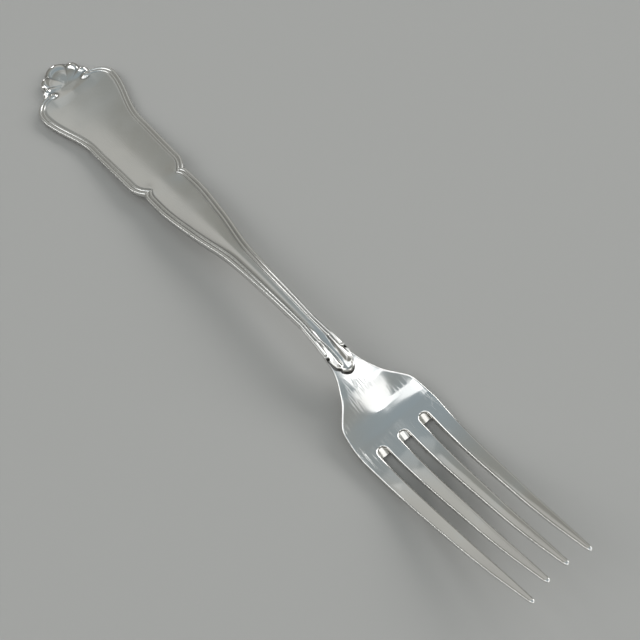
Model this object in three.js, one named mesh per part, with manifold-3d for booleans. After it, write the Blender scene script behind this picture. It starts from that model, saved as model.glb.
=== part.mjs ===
// Dinner fork in a shell-and-thread pattern, front face up, in millimetres, +Z up.
// +X runs from the shell at the handle's end to the tips of the tines, and Z = 0 is the table.
// The real fork is forged from one blank, so the named pieces are its stretches, butted on flat faces.
import * as THREE from "three";
import Module from "manifold-3d";
import { mergeVertices } from "three/addons/utils/BufferGeometryUtils.js";

// Lengths along the fork, from the shell's tip to the tines' tips
const SHELL_LENGTH = 10.2;
const PLATE_LENGTH = 50.2;
const SHOULDER_LENGTH = 20.6;
const STEM_LENGTH = 41;
const NECK_LENGTH = 18;
const PALM_LENGTH = 17;
const TINE_LENGTH = 44;

// Plan of the handle: round ears, a waist, two lobes that meet in a notch, and a long taper
const EAR_WIDTH = 25;
const EAR_RADIUS = 6.2;
const EAR_START_ANGLE = 15;
const EAR_TAPER_LENGTH = 20;
const WAIST_WIDTH = 17;
const LOBE_WIDTH = 16.2;
const LOBE_RADIUS = 8.5;
const NOTCH_WIDTH = 12.4;
const LOWER_LOBE_WIDTH = 13.3;
const LOWER_LOBE_RADIUS = 3;
const LOWER_LOBE_LENGTH = 5;
const STEM_START_WIDTH = 10.7;
const STEM_TAPER_LENGTH = 14.4;
const STEM_TAPER_WIDTH = 6.5;
const STEM_WIDTH = 4.1;

// Plan of the head: the neck flares into the palm's round shoulders
const DROP_END_WIDTH = 5.8;
const NECK_END_WIDTH = 11.4;
const PALM_SHOULDER_LENGTH = 6.5;
const PALM_SHOULDER_WIDTH = 20.9;
const HEAD_WIDTH = 22.3;
const TINE_ROOT_SPAN = 21.9;

// Side view: heights of the underside above the table
const HANDLE_REST_LENGTH = 23;
const NOTCH_RISE = 2.3;
const ARCH_LENGTH = 10;
const ARCH_RISE = 7.4;
const NECK_END_RISE = 4.1;
const HEEL_LENGTH = 7;
const HEEL_RISE = 0.8;
const BELLY_FLAT_LENGTH = 6;
const TINE_BEND_LENGTH = 24;
const TINE_BEND_RISE = 6.1;
const TIP_RISE = 15.5;

// Thicknesses, and how far the underside rounds up to its edges
const HANDLE_THICKNESS = 2.5;
const NOTCH_THICKNESS = 2.8;
const STEM_THICKNESS = 4.1;
const PALM_THICKNESS = 2.3;
const TIP_THICKNESS = 1.1;
const HANDLE_ROUNDING = 0.95;
const HEAD_ROUNDING = 0.75;
const HEAD_EDGE_ROUNDING = 0.45;
const PALM_DISH = 1.4;
const TINE_ROOT_DISH = 1;

// Struck ornament: the shell, the border's two threads round a dished panel, and the drop at the neck
const SHELL_LOBES = 5;
const SCALLOP_DEPTH = 0.9;
const FLUTE_HEIGHT = 0.9;
const SHELL_RIM_HEIGHT = 1.2;
const THREAD_WIDTH = 2;
const THREAD_DEPTH = 0.45;
const PANEL_DISH = 0.35;
const DROP_LENGTH = 15.3;
const DROP_HEIGHT = 1.25;
const DROP_END_LENGTH = 4.2;
const DROP_END_HALF = 0.6;
const DROP_INSET = 0.25;

// Tines and the slots between them
const TINE_COUNT = 4;
const SLOT_WIDTH = 2.3;
const SLOT_ROOT_DEPTH = 3.7;
const TINE_WAIST_LENGTH = 33;
const TINE_WAIST_WIDTH = 2.3;
const TIP_WIDTH = 1.1;
const TIP_PITCH = 5.05;
const INNER_TINE_SHORTFALL = 1;
const TIP_ROUND_LENGTH = 1.2;
const TIP_END_WIDTH = 0.5;

// Steps along each stretch
const EAR_STEPS = 8;
const PLATE_STEPS = 12;
const LOBE_STEPS = 5;
const SHOULDER_STEPS = 7;
const STEM_STEPS = 14;
const DROP_STEPS = 22;
const PALM_STEPS = 14;
const TINE_STEPS = 18;
const TIP_STEPS = 3;
const FLUTE_STEPS = 8;

// Stations: distances from the shell's tip at which the stretches meet
const S_PLATE = SHELL_LENGTH;
const S_NOTCH = S_PLATE + PLATE_LENGTH;
const S_STEM = S_NOTCH + SHOULDER_LENGTH;
const S_NECK = S_STEM + STEM_LENGTH;
const S_DROP_END = S_NECK + DROP_LENGTH;
const S_PALM = S_NECK + NECK_LENGTH;
const S_TINES = S_PALM + PALM_LENGTH;
const S_ROOTS = S_TINES - SLOT_ROOT_DEPTH;
const S_BELLY = S_TINES - BELLY_FLAT_LENGTH;
const S_TIPS = S_TINES + TINE_LENGTH;
const MIDDLE = S_TIPS / 2;
const HEAD_HALF = HEAD_WIDTH / 2;

const { clamp, degToRad, lerp, smoothstep } = THREE.MathUtils;

// A smooth curve through a few points [station, value] that never overshoots between them.
function curveThrough(...points) {
  const last = points.length - 1;
  const rise = (i) => (points[i + 1][1] - points[i][1]) / (points[i + 1][0] - points[i][0]);
  const slopes = points.map((_, i) => {
    if (i === 0) return rise(0);
    if (i === last) return rise(last - 1);
    const before = rise(i - 1);
    const after = rise(i);
    return before * after <= 0 ? 0 : (2 * before * after) / (before + after);
  });
  return (s) => {
    let i = 0;
    while (i < last - 1 && s > points[i + 1][0]) i += 1;
    const [s0, v0] = points[i];
    const [s1, v1] = points[i + 1];
    const t = clamp((s - s0) / (s1 - s0), 0, 1);
    const pull = t * (1 - t) * (s1 - s0);
    return v0 + (v1 - v0) * t * t * (3 - 2 * t) + pull * (slopes[i] * (1 - t) - slopes[i + 1] * t);
  };
}

// Side profile: the underside's height, and the thickness above it
const underside = curveThrough(
  [0, 0],
  [HANDLE_REST_LENGTH, 0],
  [S_NOTCH, NOTCH_RISE],
  [S_NECK - ARCH_LENGTH / 2, ARCH_RISE],
  [S_NECK + ARCH_LENGTH / 2, ARCH_RISE],
  [S_PALM, NECK_END_RISE],
  [S_PALM + HEEL_LENGTH, HEEL_RISE],
  [S_BELLY, 0],
  [S_TINES, 0],
  [S_TINES + TINE_BEND_LENGTH, TINE_BEND_RISE],
  [S_TIPS, TIP_RISE],
);
const handleThickness = curveThrough(
  [0, HANDLE_THICKNESS],
  [S_PLATE, HANDLE_THICKNESS],
  [S_NOTCH, NOTCH_THICKNESS],
  [S_NECK, STEM_THICKNESS],
);
const headThickness = curveThrough(
  [S_NECK, STEM_THICKNESS - DROP_HEIGHT],
  [S_BELLY, PALM_THICKNESS],
  [S_TINES, PALM_THICKNESS],
  [S_TIPS, TIP_THICKNESS],
);
const dishDepth = curveThrough(
  [S_DROP_END, 0],
  [S_PALM + HEEL_LENGTH, PALM_DISH],
  [S_TINES, TINE_ROOT_DISH],
  [S_TINES + TINE_BEND_LENGTH, 0],
  [S_TIPS, 0],
);

// Plan outline: half the width at each station
const EAR_CENTRE = S_PLATE + EAR_RADIUS * Math.cos(degToRad(EAR_START_ANGLE));
const S_WAIST = EAR_CENTRE + EAR_TAPER_LENGTH;
const S_LOBE = S_NOTCH - arcReach(LOBE_WIDTH, NOTCH_WIDTH, LOBE_RADIUS);
const S_LOWER_LOBE = S_NOTCH + arcReach(LOWER_LOBE_WIDTH, NOTCH_WIDTH, LOWER_LOBE_RADIUS);
const stemSide = curveThrough(
  [S_LOWER_LOBE, LOWER_LOBE_WIDTH / 2],
  [S_LOWER_LOBE + LOWER_LOBE_LENGTH, LOWER_LOBE_WIDTH / 2],
  [S_STEM, STEM_START_WIDTH / 2],
  [S_STEM + STEM_TAPER_LENGTH, STEM_TAPER_WIDTH / 2],
  [S_NECK, STEM_WIDTH / 2],
);
const headSide = curveThrough(
  [S_NECK, STEM_WIDTH / 2],
  [S_DROP_END - DROP_END_LENGTH, DROP_END_WIDTH / 2],
  [S_PALM, NECK_END_WIDTH / 2],
  [S_PALM + PALM_SHOULDER_LENGTH, PALM_SHOULDER_WIDTH / 2],
  [S_ROOTS, HEAD_HALF],
  [S_TINES, TINE_ROOT_SPAN / 2],
);

// How far along the fork a round lobe takes to narrow from its own width to another.
function arcReach(width, narrow, radius) {
  const fall = clamp((width - narrow) / 2, 0, radius);
  return Math.sqrt(fall * (2 * radius - fall));
}

// A round lobe's half width, this far along the fork from its widest point.
function arcHalf(width, radius, along) {
  return width / 2 - radius + Math.sqrt(Math.max(0, radius ** 2 - along ** 2));
}

function plateSide(s) {
  const ear = lerp(EAR_WIDTH, WAIST_WIDTH, smoothstep(s, EAR_CENTRE, S_WAIST));
  return lerp(ear, LOBE_WIDTH, smoothstep(s, S_WAIST, S_LOBE)) / 2;
}

function halfWidth(s) {
  if (s < EAR_CENTRE) return arcHalf(EAR_WIDTH, EAR_RADIUS, EAR_CENTRE - s);
  if (s < S_LOBE) return plateSide(s);
  if (s < S_NOTCH) return arcHalf(LOBE_WIDTH, LOBE_RADIUS, s - S_LOBE);
  if (s < S_LOWER_LOBE) return arcHalf(LOWER_LOBE_WIDTH, LOWER_LOBE_RADIUS, S_LOWER_LOBE - s);
  return s < S_NECK ? stemSide(s) : headSide(s);
}

// How much wider a border of even width is across the fork where its edge runs at a slant.
const STEEPEST_SLANT = 2.2;
function edgeSlant(s) {
  const step = 0.05;
  const slope = (halfWidth(s + step) - halfWidth(s - step)) / (2 * step);
  return Math.min(Math.hypot(1, slope), STEEPEST_SLANT);
}

// Stations from one end of a stretch to the other, in equal steps.
function stations(from, to, count) {
  return Array.from({ length: count + 1 }, (_, i) => lerp(from, to, i / count));
}

function point(s, y, z) {
  return new THREE.Vector3(s - MIDDLE, y, z);
}

function geometryFrom(triangles) {
  const merged = mergeVertices(new THREE.BufferGeometry().setFromPoints(triangles.flat()), 1e-5);
  merged.computeVertexNormals();
  return merged;
}

// Triangles that fill a flat ring of points, counter-clockwise seen from +X, facing +X.
function flatFace(ring) {
  const flat = ring.map((p) => new THREE.Vector2(p.y, p.z));
  return THREE.ShapeUtils.triangulateShape(flat, []).map((corners) => corners.map((i) => ring[i]));
}

// A closed solid through rings of points, each counter-clockwise seen from +X, with a flat face at each end.
function loft(rings) {
  const triangles = flatFace(rings.at(-1));
  triangles.push(...flatFace(rings[0]).map((corners) => corners.reverse()));
  for (let i = 0; i < rings.length - 1; i += 1) {
    const [here, there] = [rings[i], rings[i + 1]];
    here.forEach((p, k) => {
      const next = (k + 1) % here.length;
      triangles.push([p, here[next], there[next]], [p, there[next], there[k]]);
    });
  }
  return geometryFrom(triangles);
}

// A ring from the right half of a symmetric section: the underside from the middle out, then the top
// from the edge in.
function mirroredRing(s, under, top) {
  const right = [...under, ...top];
  const left = right.filter(([y]) => y > 0).reverse().map(([y, z]) => [-y, z]);
  return [...right, ...left].map(([y, z]) => point(s, y, z));
}

// Right half of the underside: flat in the middle, rounding up to the edge.
const UNDERSIDE_SHARES = [0, 0.4, 0.65, 0.82, 0.93, 1];
const FLAT_SHARE = UNDERSIDE_SHARES[1];
function undersideHalf(s, half, rounding) {
  return UNDERSIDE_SHARES.map((share) => {
    const round = Math.max(0, share - FLAT_SHARE) / (1 - FLAT_SHARE);
    return [half * share, underside(s) + rounding * round ** 2];
  });
}

// Handle sections. The border's profile gives each point's place in from the edge, as a share of the border's
// width, and its fall below the outer thread's crest, as a share of the threads' depth.
const THREAD_PROFILE = [
  [0, 1.4], [0.06, 0.5], [0.16, 0.08], [0.27, 0], [0.38, 0.15],
  [0.5, 1], [0.62, 0.7], [0.74, 0.3], [0.86, 0.6], [1, 1.1],
];
const PANEL_SHARES = [0.7, 0.35, 0];
const WIDEST_BORDER = 0.62;

function handleSection(s) {
  const half = halfWidth(s);
  const border = Math.min(THREAD_WIDTH * edgeSlant(s), half * WIDEST_BORDER);
  const panel = half - border;
  const depth = THREAD_DEPTH * Math.min(1, half / THREAD_WIDTH / 2);
  const dish = PANEL_DISH * Math.min(1, panel / THREAD_WIDTH / 2);
  const crest = underside(s) + handleThickness(s);
  const floor = crest - depth * THREAD_PROFILE.at(-1)[1];
  const threads = THREAD_PROFILE.map(([inset, fall]) => [half - inset * border, crest - fall * depth]);
  const inside = PANEL_SHARES.map((share) => [panel * share, floor - dish * (1 - share ** 2)]);
  return mirroredRing(s, undersideHalf(s, half, HANDLE_ROUNDING), [...threads, ...inside]);
}

function plateGeometry() {
  const angles = stations(degToRad(EAR_START_ANGLE), Math.PI / 2, EAR_STEPS).slice(1);
  const ear = [S_PLATE, ...angles.map((angle) => EAR_CENTRE - EAR_RADIUS * Math.cos(angle))];
  const side = stations(EAR_CENTRE, S_LOBE, PLATE_STEPS).slice(1);
  const lobe = stations(S_LOBE, S_NOTCH, LOBE_STEPS).slice(1);
  return loft([...ear, ...side, ...lobe].map(handleSection));
}

function shoulderGeometry() {
  const lobe = stations(S_NOTCH, S_LOWER_LOBE, LOBE_STEPS);
  const side = stations(S_LOWER_LOBE, S_STEM, SHOULDER_STEPS).slice(1);
  return loft([...lobe, ...side].map(handleSection));
}

function stemGeometry() {
  return loft(stations(S_STEM, S_NECK, STEM_STEPS).map(handleSection));
}

// Shell: a fan of round flutes from the middle of the plate's end out to a scalloped rim.
const FAN_SHARES = [0.2, 0.45, 0.7, 0.88, 1];
const FLUTE_FULL_SHARE = 0.7;

function shellGeometry() {
  const sideReach = halfWidth(S_PLATE);
  const floor = underside(0) + handleThickness(0) - THREAD_DEPTH;
  const angles = stations(-Math.PI / 2, Math.PI / 2, SHELL_LOBES * FLUTE_STEPS);
  const middleOfLobe = SHELL_LOBES % 2 ? 0 : Math.PI / 2;
  const crown = (angle) => Math.abs(Math.cos(angle * SHELL_LOBES + middleOfLobe));
  const reach = (angle) => {
    const plain = lerp(sideReach, SHELL_LENGTH, Math.cos(angle) ** 4);
    return plain - SCALLOP_DEPTH * (1 - crown(angle)) * Math.cos(angle) ** 2;
  };
  const onFan = (angle, share, z) => {
    const ends = Math.abs(angle) === Math.PI / 2;
    const back = ends ? 0 : reach(angle) * share * Math.cos(angle);
    return point(S_PLATE - back, reach(angle) * share * Math.sin(angle), z);
  };
  const spoke = (angle) => FAN_SHARES.map((share) => {
    const flute = FLUTE_HEIGHT * crown(angle) * Math.min(1, share / FLUTE_FULL_SHARE);
    return onFan(angle, share, share === 1 ? SHELL_RIM_HEIGHT : floor + flute);
  });
  const hub = point(S_PLATE, 0, floor);
  const hubFoot = point(S_PLATE, 0, underside(0));
  const spokes = angles.map(spoke);
  const feet = angles.map((angle) => onFan(angle, 1, underside(0)));
  const base = [hubFoot, feet.at(-1), ...spokes.at(-1).toReversed(), hub, ...spokes[0], feet[0]];
  const triangles = flatFace(base);
  for (let i = 0; i < angles.length - 1; i += 1) {
    const [here, there] = [spokes[i], spokes[i + 1]];
    triangles.push([hub, there[0], here[0]], [hubFoot, feet[i], feet[i + 1]]);
    triangles.push([here.at(-1), there.at(-1), feet[i + 1]], [here.at(-1), feet[i + 1], feet[i]]);
    for (let j = 0; j < FAN_SHARES.length - 1; j += 1) {
      triangles.push([here[j], there[j], there[j + 1]], [here[j], there[j + 1], here[j + 1]]);
    }
  }
  return geometryFrom(triangles);
}

// Head sections: the neck's flat seat opens into the palm's dish, which sags between its raised edges.
const HEAD_SHARES = [0.96, 0.9, 0.7, 0.45, 0.2, 0];

function dishLift(s, y) {
  return dishDepth(s) * (y / HEAD_HALF) ** 2;
}

function headTop(s, y) {
  return underside(s) + headThickness(s) + dishLift(s, y);
}

// The back follows the dish from the edge of its flat belly outwards.
function bellyLift(s, y, flat) {
  const share = Math.max(0, y ** 2 - flat ** 2) / (HEAD_HALF ** 2 - flat ** 2);
  return dishDepth(s) * share;
}

function headSection(s) {
  const half = halfWidth(s);
  const flat = half * FLAT_SHARE;
  const under = undersideHalf(s, half, HEAD_ROUNDING).map(([y, z]) => [y, z + bellyLift(s, y, flat)]);
  const edge = [half, headTop(s, half) - HEAD_EDGE_ROUNDING];
  const top = HEAD_SHARES.map((share) => [half * share, headTop(s, half * share)]);
  return mirroredRing(s, under, [edge, ...top]);
}

const seatStations = stations(S_NECK, S_DROP_END, DROP_STEPS);

function neckGeometry() {
  return loft([...seatStations, S_PALM].map(headSection));
}

// Drop: the handle's threads end on the neck in a raised tongue, fluted either side of a midrib.
// The profile gives each point's place across the tongue and its height, as shares of the whole.
const DROP_PROFILE = [
  [1, 0.35], [0.94, 0.8], [0.82, 1], [0.7, 0.8], [0.6, 0.62], [0.4, 0.55], [0.22, 0.66], [0.1, 0.95], [0, 1],
];

function dropSection(s) {
  const straight = S_DROP_END - DROP_END_LENGTH;
  const share = clamp((s - straight) / DROP_END_LENGTH, 0, 1);
  const full = halfWidth(Math.min(s, straight)) - DROP_INSET;
  const half = lerp(DROP_END_HALF, full, Math.sqrt(1 - share ** 2));
  const seat = headTop(s, 0);
  const under = [0, half].map((y) => [y, seat]);
  const top = DROP_PROFILE.map(([across, height]) => [half * across, seat + DROP_HEIGHT * height]);
  return mirroredRing(s, under, top);
}

function dropGeometry() {
  return loft(seatStations.map(dropSection));
}

// Palm, cut by the round roots of the slots
const wasm = await Module();
wasm.setup();

function solidFrom(geometry) {
  const bare = geometry.clone();
  bare.deleteAttribute("normal");
  bare.deleteAttribute("uv");
  const merged = mergeVertices(bare, 1e-5);
  const vertProperties = merged.attributes.position.array;
  const triVerts = new Uint32Array(merged.index.array);
  return new wasm.Manifold(new wasm.Mesh({ numProp: 3, vertProperties, triVerts }));
}

function geometryOf(solid) {
  const { vertProperties, triVerts } = solid.getMesh();
  const geometry = new THREE.BufferGeometry();
  geometry.setAttribute("position", new THREE.BufferAttribute(vertProperties, 3));
  geometry.setIndex(new THREE.BufferAttribute(triVerts, 1));
  geometry.computeVertexNormals();
  return geometry;
}

const rootPitch = (TINE_ROOT_SPAN + SLOT_WIDTH) / TINE_COUNT;
const rootWidth = rootPitch - SLOT_WIDTH;
const slotPlaces = stations(1 - TINE_COUNT / 2, TINE_COUNT / 2 - 1, TINE_COUNT - 2);

function slotCutter(y) {
  const radius = SLOT_WIDTH / 2;
  const round = S_ROOTS + radius - MIDDLE;
  const mouth = S_TINES + SLOT_WIDTH - MIDDLE;
  const outline = new THREE.Shape();
  outline.moveTo(mouth, y - radius);
  outline.lineTo(mouth, y + radius);
  outline.lineTo(round, y + radius);
  outline.absarc(round, y, radius, Math.PI / 2, (3 * Math.PI) / 2, false);
  outline.closePath();
  const tall = ARCH_RISE + PALM_THICKNESS + PALM_DISH;
  const cutter = new THREE.ExtrudeGeometry(outline, { depth: 2 * tall, bevelEnabled: false });
  return cutter.translate(0, 0, -tall);
}

function palmGeometry() {
  const whole = solidFrom(loft(stations(S_PALM, S_TINES, PALM_STEPS).map(headSection)));
  const cutters = slotPlaces.map((place) => solidFrom(slotCutter(place * rootPitch)));
  return geometryOf(cutters.reduce((solid, cutter) => solid.subtract(cutter), whole));
}

// Tines: each tapers and rises from between two slots to a blunt round tip. The outline of a section is given
// across the tine, as a share of half its width, and up it, as a share of its thickness.
const TINE_OUTLINE = [
  [-0.55, 0], [0.55, 0], [0.85, 0.12], [1, 0.4], [0.97, 0.72], [0.8, 0.93],
  [0.4, 1], [-0.4, 1], [-0.8, 0.93], [-0.97, 0.72], [-1, 0.4], [-0.85, 0.12],
];

function tineGeometry(index) {
  const outer = index === 0 || index === TINE_COUNT - 1;
  const end = outer ? S_TIPS : S_TIPS - INNER_TINE_SHORTFALL;
  const place = index - (TINE_COUNT - 1) / 2;
  const width = curveThrough(
    [S_TINES, rootWidth],
    [S_TINES + TINE_WAIST_LENGTH, TINE_WAIST_WIDTH],
    [end - TIP_ROUND_LENGTH, TIP_WIDTH],
    [end, TIP_END_WIDTH],
  );
  const section = (s) => {
    const centre = place * lerp(rootPitch, TIP_PITCH, (s - S_TINES) / TINE_LENGTH);
    return TINE_OUTLINE.map(([across, up]) => {
      const y = centre + (across * width(s)) / 2;
      return point(s, y, underside(s) + dishLift(s, y) + up * headThickness(s));
    });
  };
  const shaft = stations(S_TINES, end - TIP_ROUND_LENGTH, TINE_STEPS);
  const tip = stations(end - TIP_ROUND_LENGTH, end, TIP_STEPS).slice(1);
  return loft([...shaft, ...tip].map(section));
}

// Assembly
const handleSilver = { color: 0xb7b6b0, metalness: 1, roughness: 0.2 };
const headSilver = { color: 0xc9cccf, metalness: 1, roughness: 0.14 };

const fork = new THREE.Group();

function addPiece(name, geometry, finish) {
  const mesh = new THREE.Mesh(geometry, new THREE.MeshStandardMaterial(finish));
  mesh.name = name;
  fork.add(mesh);
}

addPiece("shell_terminal", shellGeometry(), handleSilver);
addPiece("handle_plate", plateGeometry(), handleSilver);
addPiece("handle_shoulders", shoulderGeometry(), handleSilver);
addPiece("stem", stemGeometry(), handleSilver);
addPiece("neck", neckGeometry(), headSilver);
addPiece("neck_drop", dropGeometry(), headSilver);
addPiece("palm", palmGeometry(), headSilver);
for (let i = 0; i < TINE_COUNT; i += 1) {
  addPiece(`tine_${i + 1}`, tineGeometry(i), headSilver);
}

export default fork;
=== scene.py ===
"""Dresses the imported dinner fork: struck relief, worn silver, a pale table and the photograph's camera."""
import math

import bmesh
import bpy
import numpy as np
from bpy.props import FloatProperty, FloatVectorProperty, IntProperty, PointerProperty
from mathutils import Matrix, Vector


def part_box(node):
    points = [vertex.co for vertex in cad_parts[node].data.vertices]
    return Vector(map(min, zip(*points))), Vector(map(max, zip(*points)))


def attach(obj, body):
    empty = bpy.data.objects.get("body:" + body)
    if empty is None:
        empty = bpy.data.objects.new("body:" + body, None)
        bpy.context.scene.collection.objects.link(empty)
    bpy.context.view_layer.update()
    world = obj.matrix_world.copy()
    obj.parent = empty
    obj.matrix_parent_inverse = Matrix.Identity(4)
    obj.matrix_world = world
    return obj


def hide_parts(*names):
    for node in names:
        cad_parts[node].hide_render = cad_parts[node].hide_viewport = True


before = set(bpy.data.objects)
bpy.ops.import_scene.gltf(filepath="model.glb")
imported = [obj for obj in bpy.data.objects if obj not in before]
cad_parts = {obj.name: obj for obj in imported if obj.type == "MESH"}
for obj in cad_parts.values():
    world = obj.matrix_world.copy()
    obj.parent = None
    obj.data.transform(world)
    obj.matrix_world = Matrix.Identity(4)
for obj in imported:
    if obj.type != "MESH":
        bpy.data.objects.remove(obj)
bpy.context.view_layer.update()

bl_info = {
    "name": "Shell-and-thread dinner fork",
    "version": (1, 0, 0),
    "blender": (4, 5, 0),
    "location": "3D View > Sidebar > Fork",
    "description": "Builds a silver dinner fork with a shell, threads and a fluted drop on its packed frame",
    "category": "Add Mesh",
}

MM = 0.001

# Places along the fork where its stretches meet, from the frame
X_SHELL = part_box("shell_terminal")[0].x
X_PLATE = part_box("handle_plate")[0].x
X_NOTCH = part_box("handle_shoulders")[0].x
X_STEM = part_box("stem")[0].x
X_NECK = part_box("neck")[0].x
X_DROP_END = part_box("neck_drop")[1].x
X_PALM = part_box("palm")[0].x
X_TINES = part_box("tine_1")[0].x
X_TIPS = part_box("tine_1")[1].x
X_INNER_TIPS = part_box("tine_2")[1].x
TINE_COUNT = 4


def width_of(node):
    """How wide a node of the frame is across the fork."""
    low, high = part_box(node)
    return high.y - low.y


# Properties

def length(name, description, default):
    """A length that the sidebar shows in the scene's own unit."""
    return FloatProperty(
        name=name, description=description, default=default, soft_min=0.0, precision=5, unit="LENGTH"
    )


def share(name, description, default):
    """A number from 0 to 1."""
    return FloatProperty(
        name=name, description=description, default=default, min=0.0, max=1.0, subtype="FACTOR"
    )


def angle(name, description, degrees):
    """An angle, written in degrees."""
    return FloatProperty(name=name, description=description, default=math.radians(degrees), subtype="ANGLE")


def colour(name, description, default):
    """A linear colour."""
    return FloatVectorProperty(
        name=name, description=description, default=default, size=3, min=0.0, max=1.0, subtype="COLOR"
    )


def brightness(name, description, default):
    """How bright a light is, where 1 looks white in a mirror."""
    return FloatProperty(name=name, description=description, default=default, min=0.0)


def direction(name, description, default):
    """A direction in space."""
    return FloatVectorProperty(
        name=name, description=description, default=default, size=3, precision=5, subtype="DIRECTION"
    )


class ForkOutline(bpy.types.PropertyGroup):
    """Plan of the fork: widths and radii along it."""

    ear_width: length("Ears", "Width across the two round ears", width_of("handle_plate"))
    ear_radius: length("Ear radius", "Radius of each ear's round end", 6.2 * MM)
    ear_start: angle("Ear start", "Angle on the ear's circle at which the shell's foot meets it", 15)
    ear_taper: length("Ear taper", "Length from the ears to the waist", 20 * MM)
    waist_width: length("Waist", "Width at the plate's waist", 17 * MM)
    lobe_width: length("Lobe", "Width of the lobe above the notch", 16.2 * MM)
    lobe_radius: length("Lobe radius", "Radius of the lobe above the notch", 8.5 * MM)
    notch_width: length("Notch", "Width at the notch", 12.4 * MM)
    low_lobe_width: length("Lower lobe", "Width of the lobe below the notch", width_of("handle_shoulders"))
    low_lobe_radius: length("Lower lobe radius", "Radius of the lobe below the notch", 3 * MM)
    low_lobe_length: length("Lower lobe length", "Length of the lower lobe's straight side", 5 * MM)
    stem_start_width: length("Stem start", "Width where the stem starts", width_of("stem"))
    stem_taper: length("Stem taper", "Length of the stem's steeper taper", 14.4 * MM)
    stem_taper_width: length("Taper width", "Width where the steeper taper ends", 6.5 * MM)
    stem_width: length("Stem", "Width at the stem's thin end", 4.1 * MM)
    drop_end_width: length("Neck at the drop", "Neck's width where the drop rounds off", 5.8 * MM)
    drop_end_length: length("Drop's round end", "Length of the drop's round end", 4.2 * MM)
    neck_end_width: length("Neck end", "Width where the neck meets the palm", width_of("neck"))
    palm_shoulder: length("Palm shoulder", "Length of the palm's round shoulder", 6.5 * MM)
    palm_shoulder_width: length("Shoulder width", "Width at the end of the palm's shoulder", 20.9 * MM)
    head_width: length("Head", "Greatest width of the head", width_of("palm"))
    tine_span: length("Tine span", "Width over the tines at their roots", 21.9 * MM)


class ForkProfile(bpy.types.PropertyGroup):
    """Side view of the fork: how high its underside lies, and how thick it is."""

    handle_rest: length("Handle rest", "Length of the handle's end that lies on the table", 23 * MM)
    notch_rise: length("Notch rise", "Underside's height at the notch", 2.3 * MM)
    arch_length: length("Arch length", "Length of the arch's flat top", 10 * MM)
    arch_rise: length("Arch rise", "Underside's height at the arch", 7.4 * MM)
    neck_end_rise: length("Neck rise", "Underside's height where the neck meets the palm", 4.1 * MM)
    heel_length: length("Heel length", "Length of the palm's slope to its belly", 7 * MM)
    heel_rise: length("Heel rise", "Underside's height at the end of that slope", 0.8 * MM)
    belly_length: length("Belly", "Length of the palm's flat belly", 6 * MM)
    bend_length: length("Tine bend", "Length of the tines' gentle bend", 24 * MM)
    bend_rise: length("Bend rise", "Underside's height at the end of the bend", 6.1 * MM)
    tip_rise: length("Tip rise", "Underside's height at the tips", 15.5 * MM)
    handle_thickness: length("Handle thickness", "Thickness of the handle's end", 2.5 * MM)
    notch_thickness: length("Notch thickness", "Thickness at the notch", 2.8 * MM)
    stem_thickness: length("Stem thickness", "Thickness at the neck", 4.1 * MM)
    palm_thickness: length("Palm thickness", "Thickness of the palm", 2.3 * MM)
    tip_thickness: length("Tip thickness", "Thickness at the tips", 1.1 * MM)
    handle_rounding: length("Handle rounding", "How far the handle's back rounds up to its edge", 0.95 * MM)
    stem_rounding: length("Stem rounding", "How far the stem's back rounds up to its edge", 1.5 * MM)
    head_rounding: length("Head rounding", "How far the head's back rounds up to its edge", 0.75 * MM)
    rounding_reach: length("Rounding reach", "How far in from the edge the palm's back is rounded", 3 * MM)
    palm_dish: length("Palm dish", "How far the palm's edges stand above its middle", 1.4 * MM)
    root_dish: length("Root dish", "The same at the roots of the tines", 1.0 * MM)
    wave_length: length("Wave length", "Length of the polish's slight waves on the palm", 8 * MM)
    wave_height: length("Wave height", "Height of those waves", 0.012 * MM)
    soft_edge: length("Soft edge", "Radius of the head's worn upper edges", 0.42 * MM)


class ForkRelief(bpy.types.PropertyGroup):
    """Struck ornament: threads, volutes, shell and drop."""

    thread_width: length("Border", "Width of the double-thread border", 2.0 * MM)
    thread_depth: length("Thread depth", "Depth of the groove between the threads, at the neck", 0.45 * MM)
    plate_threads: share("Plate threads", "Depth of the plate's threads against the neck's", 0.36)
    panel_dish: length("Panel dish", "Sag of the panel between the threads", 0.42 * MM)
    volute_radius: length("Volute", "Radius of the curl that ends each ear's border", 1.3 * MM)
    volute_length: length("Volute length", "Half the curl's length across the fork", 1.7 * MM)
    volute_inset: length("Volute inset", "How far the curl lies in from the ear's middle", 0.6 * MM)
    shell_lobes: IntProperty(name="Lobes", description="Lobes of the shell", default=5, min=3, max=9)
    lobe_growth: share("Lobe growth", "How much wider the middle lobe is than the outer ones", 0.4)
    scallop: length("Scallop", "Depth of the notches in the shell's rim", 0.9 * MM)
    flute_height: length("Flutes", "Height of the flutes that lead to the shell's rim", 0.12 * MM)
    bead_height: length("Beads", "Height of the round beads of the shell's rim", 0.5 * MM)
    shell_swell: length("Shell swell", "How far the shell swells above the panel", 0.25 * MM)
    shell_rim: length("Shell rim", "Height of the shell's rim above the table", 1.15 * MM)
    drop_height: length("Drop height", "Height of the drop over the neck", 1.25 * MM)
    drop_end_height: length("Drop end height", "Height of the drop near its end", 1.65 * MM)
    drop_round_length: length("Drop round", "Length of the drop's rounded end", 4.7 * MM)
    drop_width: length("Drop width", "Width of the drop at its rounded end", 5.5 * MM)
    drop_dent: length("Drop dents", "Depth of the dents either side of the drop's middle lobe", 0.4 * MM)
    drop_edge: length("Drop edge", "Radius of the drop's upper edge", 0.16 * MM)
    scoop_depth: length("Scoops", "Depth of the drop's three scoops", 0.85 * MM)
    finger_length: length("Fingers", "Length of the fingers between the scoops, to the drop's end", 9.5 * MM)
    thread_end: length("Thread end", "Where the outer threads end, before the drop's end", 5.5 * MM)


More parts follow.
